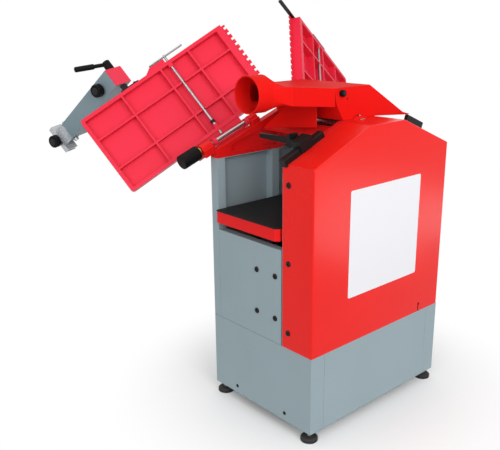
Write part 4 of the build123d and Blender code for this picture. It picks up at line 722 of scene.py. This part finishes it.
CUTTER_AXIS = Vector(joints["cutterblock_spin"]["pos_m"])
KNIVES = 3
GIB_X = 0.0075
GIB_TOP = 0.0345
GIB_START = -0.065
GIB_PITCH = 0.0445
GIB_SCREWS = 6
GIB_SCREW = dict(head=0.0034, height=0.0014, shank=0.002, length=0.003, socket=0.0018, depth=0.0012)
gib_screws = bmesh.new()
for index in range(KNIVES):
    spin = Matrix.Translation(CUTTER_AXIS) @ Matrix.Rotation(index * tau / KNIVES, 4, "Y")
    for step in range(GIB_SCREWS):
        y = GIB_START + step * GIB_PITCH
        gather(gib_screws, socket_screw(**GIB_SCREW), spin @ facing((GIB_X, y, GIB_TOP), (0, 0, 1)))
finish_piece("gib_screws", gib_screws, steel_black, "cutterblock")
print("bolts", len(BOLT_HEIGHTS), "gib screws", KNIVES * GIB_SCREWS)


# %% Button marks
BAR_SIZE = (0.0008, 0.0022, 0.0110)
BAR_BEVEL = 0.0003
RING_SUNK = Vector((0.0012, 0, 0))


def on_mark(centre):
    """An upright bar with bevelled edges."""
    mesh = bmesh.new()
    bmesh.ops.create_cube(mesh, size=1.0)
    bmesh.ops.scale(mesh, vec=BAR_SIZE, verts=mesh.verts[:])
    bmesh.ops.bevel(mesh, geom=mesh.edges[:], offset=BAR_BEVEL, offset_type="OFFSET", affect="EDGES",
                    segments=2, profile=0.5, material=-1)
    bmesh.ops.translate(mesh, vec=centre, verts=mesh.verts[:])
    return mesh


def button_face(name):
    """The middle of a button's outer face."""
    low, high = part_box(name)
    return Vector((high.x, (low.y + high.y) / 2, (low.z + high.z) / 2))


finish_piece("on_mark", on_mark(button_face("start_button")), mark_white, "start_button")
off_mark = bmesh.new()
ring = collar(inner=0.0038, outer=0.0056, length=0.0016)
gather(off_mark, ring, facing(button_face("stop_button") - RING_SUNK, (1, 0, 0)))
finish_piece("off_mark", off_mark, mark_white, "stop_button")
print("marks", 2)

# %% [markdown]
# ## Floor, light and camera
#
# A pale floor, one large soft light on the cover's side, a weaker one at the infeed end that reaches
# into the passage, one from above and an even sky. A panel that lies on the floor past the outfeed end
# shines up, and the gloss paint of the cover shows it as the pale band of the photograph. The floor fades
# out a short way from the feet, so that no horizon shows against the white. The camera was solved from
# the cabinet's edges in the photograph.

# %% Floor and world
FLOOR_REACH = 12.0
FLOOR_COLOUR = (0.9, 0.9, 0.9, 1.0)
FLOOR_ROUGHNESS = 0.8
FADE_START = 0.22
FADE_END = 0.75
PURE_WHITE = (1.0, 1.0, 1.0, 1.0)
SKY_STRENGTH = 0.55
WHITE_STRENGTH = 1.0


def background_seen(tree):
    """One for rays that show the background as it is: straight, mirrored or through glass."""
    rays = tree.nodes.new("ShaderNodeLightPath")
    seen = math_node(tree, "MAXIMUM", rays.outputs["Is Camera Ray"], rays.outputs["Is Glossy Ray"])
    return math_node(tree, "MAXIMUM", seen, rays.outputs["Is Transmission Ray"])


floor_mesh = bmesh.new()
bmesh.ops.create_grid(floor_mesh, x_segments=1, y_segments=1, size=FLOOR_REACH)
floor_data = bpy.data.meshes.new("floor")
floor_mesh.to_mesh(floor_data)
floor_mesh.free()
floor = bpy.data.objects.new("floor", floor_data)
bpy.context.scene.collection.objects.link(floor)
floor_material, floor_tree, floor_shader = new_material("pale_floor")
floor_shader.inputs["Base Color"].default_value = FLOOR_COLOUR
floor_shader.inputs["Roughness"].default_value = FLOOR_ROUGHNESS
floor_place = floor_tree.nodes.new("ShaderNodeTexCoord")
reach = floor_tree.nodes.new("ShaderNodeVectorMath")
reach.operation = "LENGTH"
floor_tree.links.new(floor_place.outputs["Object"], reach.inputs[0])
fade = floor_tree.nodes.new("ShaderNodeMapRange")
fade.interpolation_type = "SMOOTHSTEP"
fade.inputs["From Min"].default_value = FADE_START
fade.inputs["From Max"].default_value = FADE_END
floor_tree.links.new(reach.outputs["Value"], fade.inputs["Value"])
beyond = floor_tree.nodes.new("ShaderNodeMixShader")
floor_tree.links.new(background_seen(floor_tree), beyond.inputs["Fac"])
clear = floor_tree.nodes.new("ShaderNodeBsdfTransparent")
paper = floor_tree.nodes.new("ShaderNodeEmission")
floor_tree.links.new(clear.outputs["BSDF"], beyond.inputs[1])
floor_tree.links.new(paper.outputs["Emission"], beyond.inputs[2])
edge_blend = floor_tree.nodes.new("ShaderNodeMixShader")
floor_tree.links.new(fade.outputs["Result"], edge_blend.inputs["Fac"])
floor_tree.links.new(floor_shader.outputs["BSDF"], edge_blend.inputs[1])
floor_tree.links.new(beyond.outputs["Shader"], edge_blend.inputs[2])
floor_tree.links.new(edge_blend.outputs["Shader"], floor_tree.nodes["Material Output"].inputs["Surface"])
floor_data.materials.append(floor_material)

world = bpy.data.worlds.new("studio")
bpy.context.scene.world = world
world.use_nodes = True
tree = world.node_tree
sky = tree.nodes["Background"]
sky.inputs["Color"].default_value = PURE_WHITE
sky.inputs["Strength"].default_value = SKY_STRENGTH
white = tree.nodes.new("ShaderNodeBackground")
white.inputs["Color"].default_value = PURE_WHITE
white.inputs["Strength"].default_value = WHITE_STRENGTH
blend = tree.nodes.new("ShaderNodeMixShader")
tree.links.new(background_seen(tree), blend.inputs["Fac"])
tree.links.new(sky.outputs["Background"], blend.inputs[1])
tree.links.new(white.outputs["Background"], blend.inputs[2])
tree.links.new(blend.outputs["Shader"], tree.nodes["World Output"].inputs["Surface"])
print("floor and world", floor.name, world.name)


# %% Lights
def soft_light(name, place, target, size, power):
    """A square area light, aimed from its place at a target."""
    lamp = bpy.data.lights.new(name, "AREA")
    lamp.shape = "SQUARE"
    lamp.size = size
    lamp.energy = power
    lamp_object = bpy.data.objects.new(name, lamp)
    bpy.context.scene.collection.objects.link(lamp_object)
    aim = Vector(target) - Vector(place)
    lamp_object.location = place
    lamp_object.rotation_euler = aim.to_track_quat("-Z", "Y").to_euler()


soft_light("key_light", place=(-0.9, -3.4, 2.3), target=(0, 0, 0.6), size=2.4, power=80)
soft_light("side_light", place=(-3.2, -1.5, 1.7), target=(0, 0.1, 0.65), size=2.0, power=44)
soft_light("top_light", place=(0.4, 0.6, 4.0), target=(0, 0, 0.6), size=2.6, power=16)
soft_light("low_light", place=(1.65, -1.80, 0.02), target=(1.65, -1.80, 1.0), size=1.5, power=18)
print("lights", len(bpy.data.lights))

# %% Camera
CAMERA_PLACE = Vector((-1.5422, -1.3922, 1.1831))
YAW = 0.8537
PITCH = 0.2954
ROLL = -0.0115
FOCAL_PIXELS = 689.26
PHOTO_WIDTH = 500
SENSOR = 36.0

forward = Vector((cos(PITCH) * cos(YAW), cos(PITCH) * sin(YAW), -sin(PITCH)))
level = Vector((sin(YAW), -cos(YAW), 0.0))
upright = level.cross(forward)
right = level * cos(ROLL) + upright * sin(ROLL)
above = upright * cos(ROLL) - level * sin(ROLL)
lens = bpy.data.cameras.new("photo_camera")
lens.sensor_width = SENSOR
lens.sensor_fit = "HORIZONTAL"
lens.lens = SENSOR * FOCAL_PIXELS / PHOTO_WIDTH
camera = bpy.data.objects.new("photo_camera", lens)
bpy.context.scene.collection.objects.link(camera)
turn = Matrix((right, above, -forward)).transposed()
camera.matrix_world = Matrix.Translation(CAMERA_PLACE) @ turn.to_4x4()
bpy.context.scene.camera = camera
bpy.context.scene.view_settings.view_transform = "Standard"
print("lens", round(lens.lens, 2))
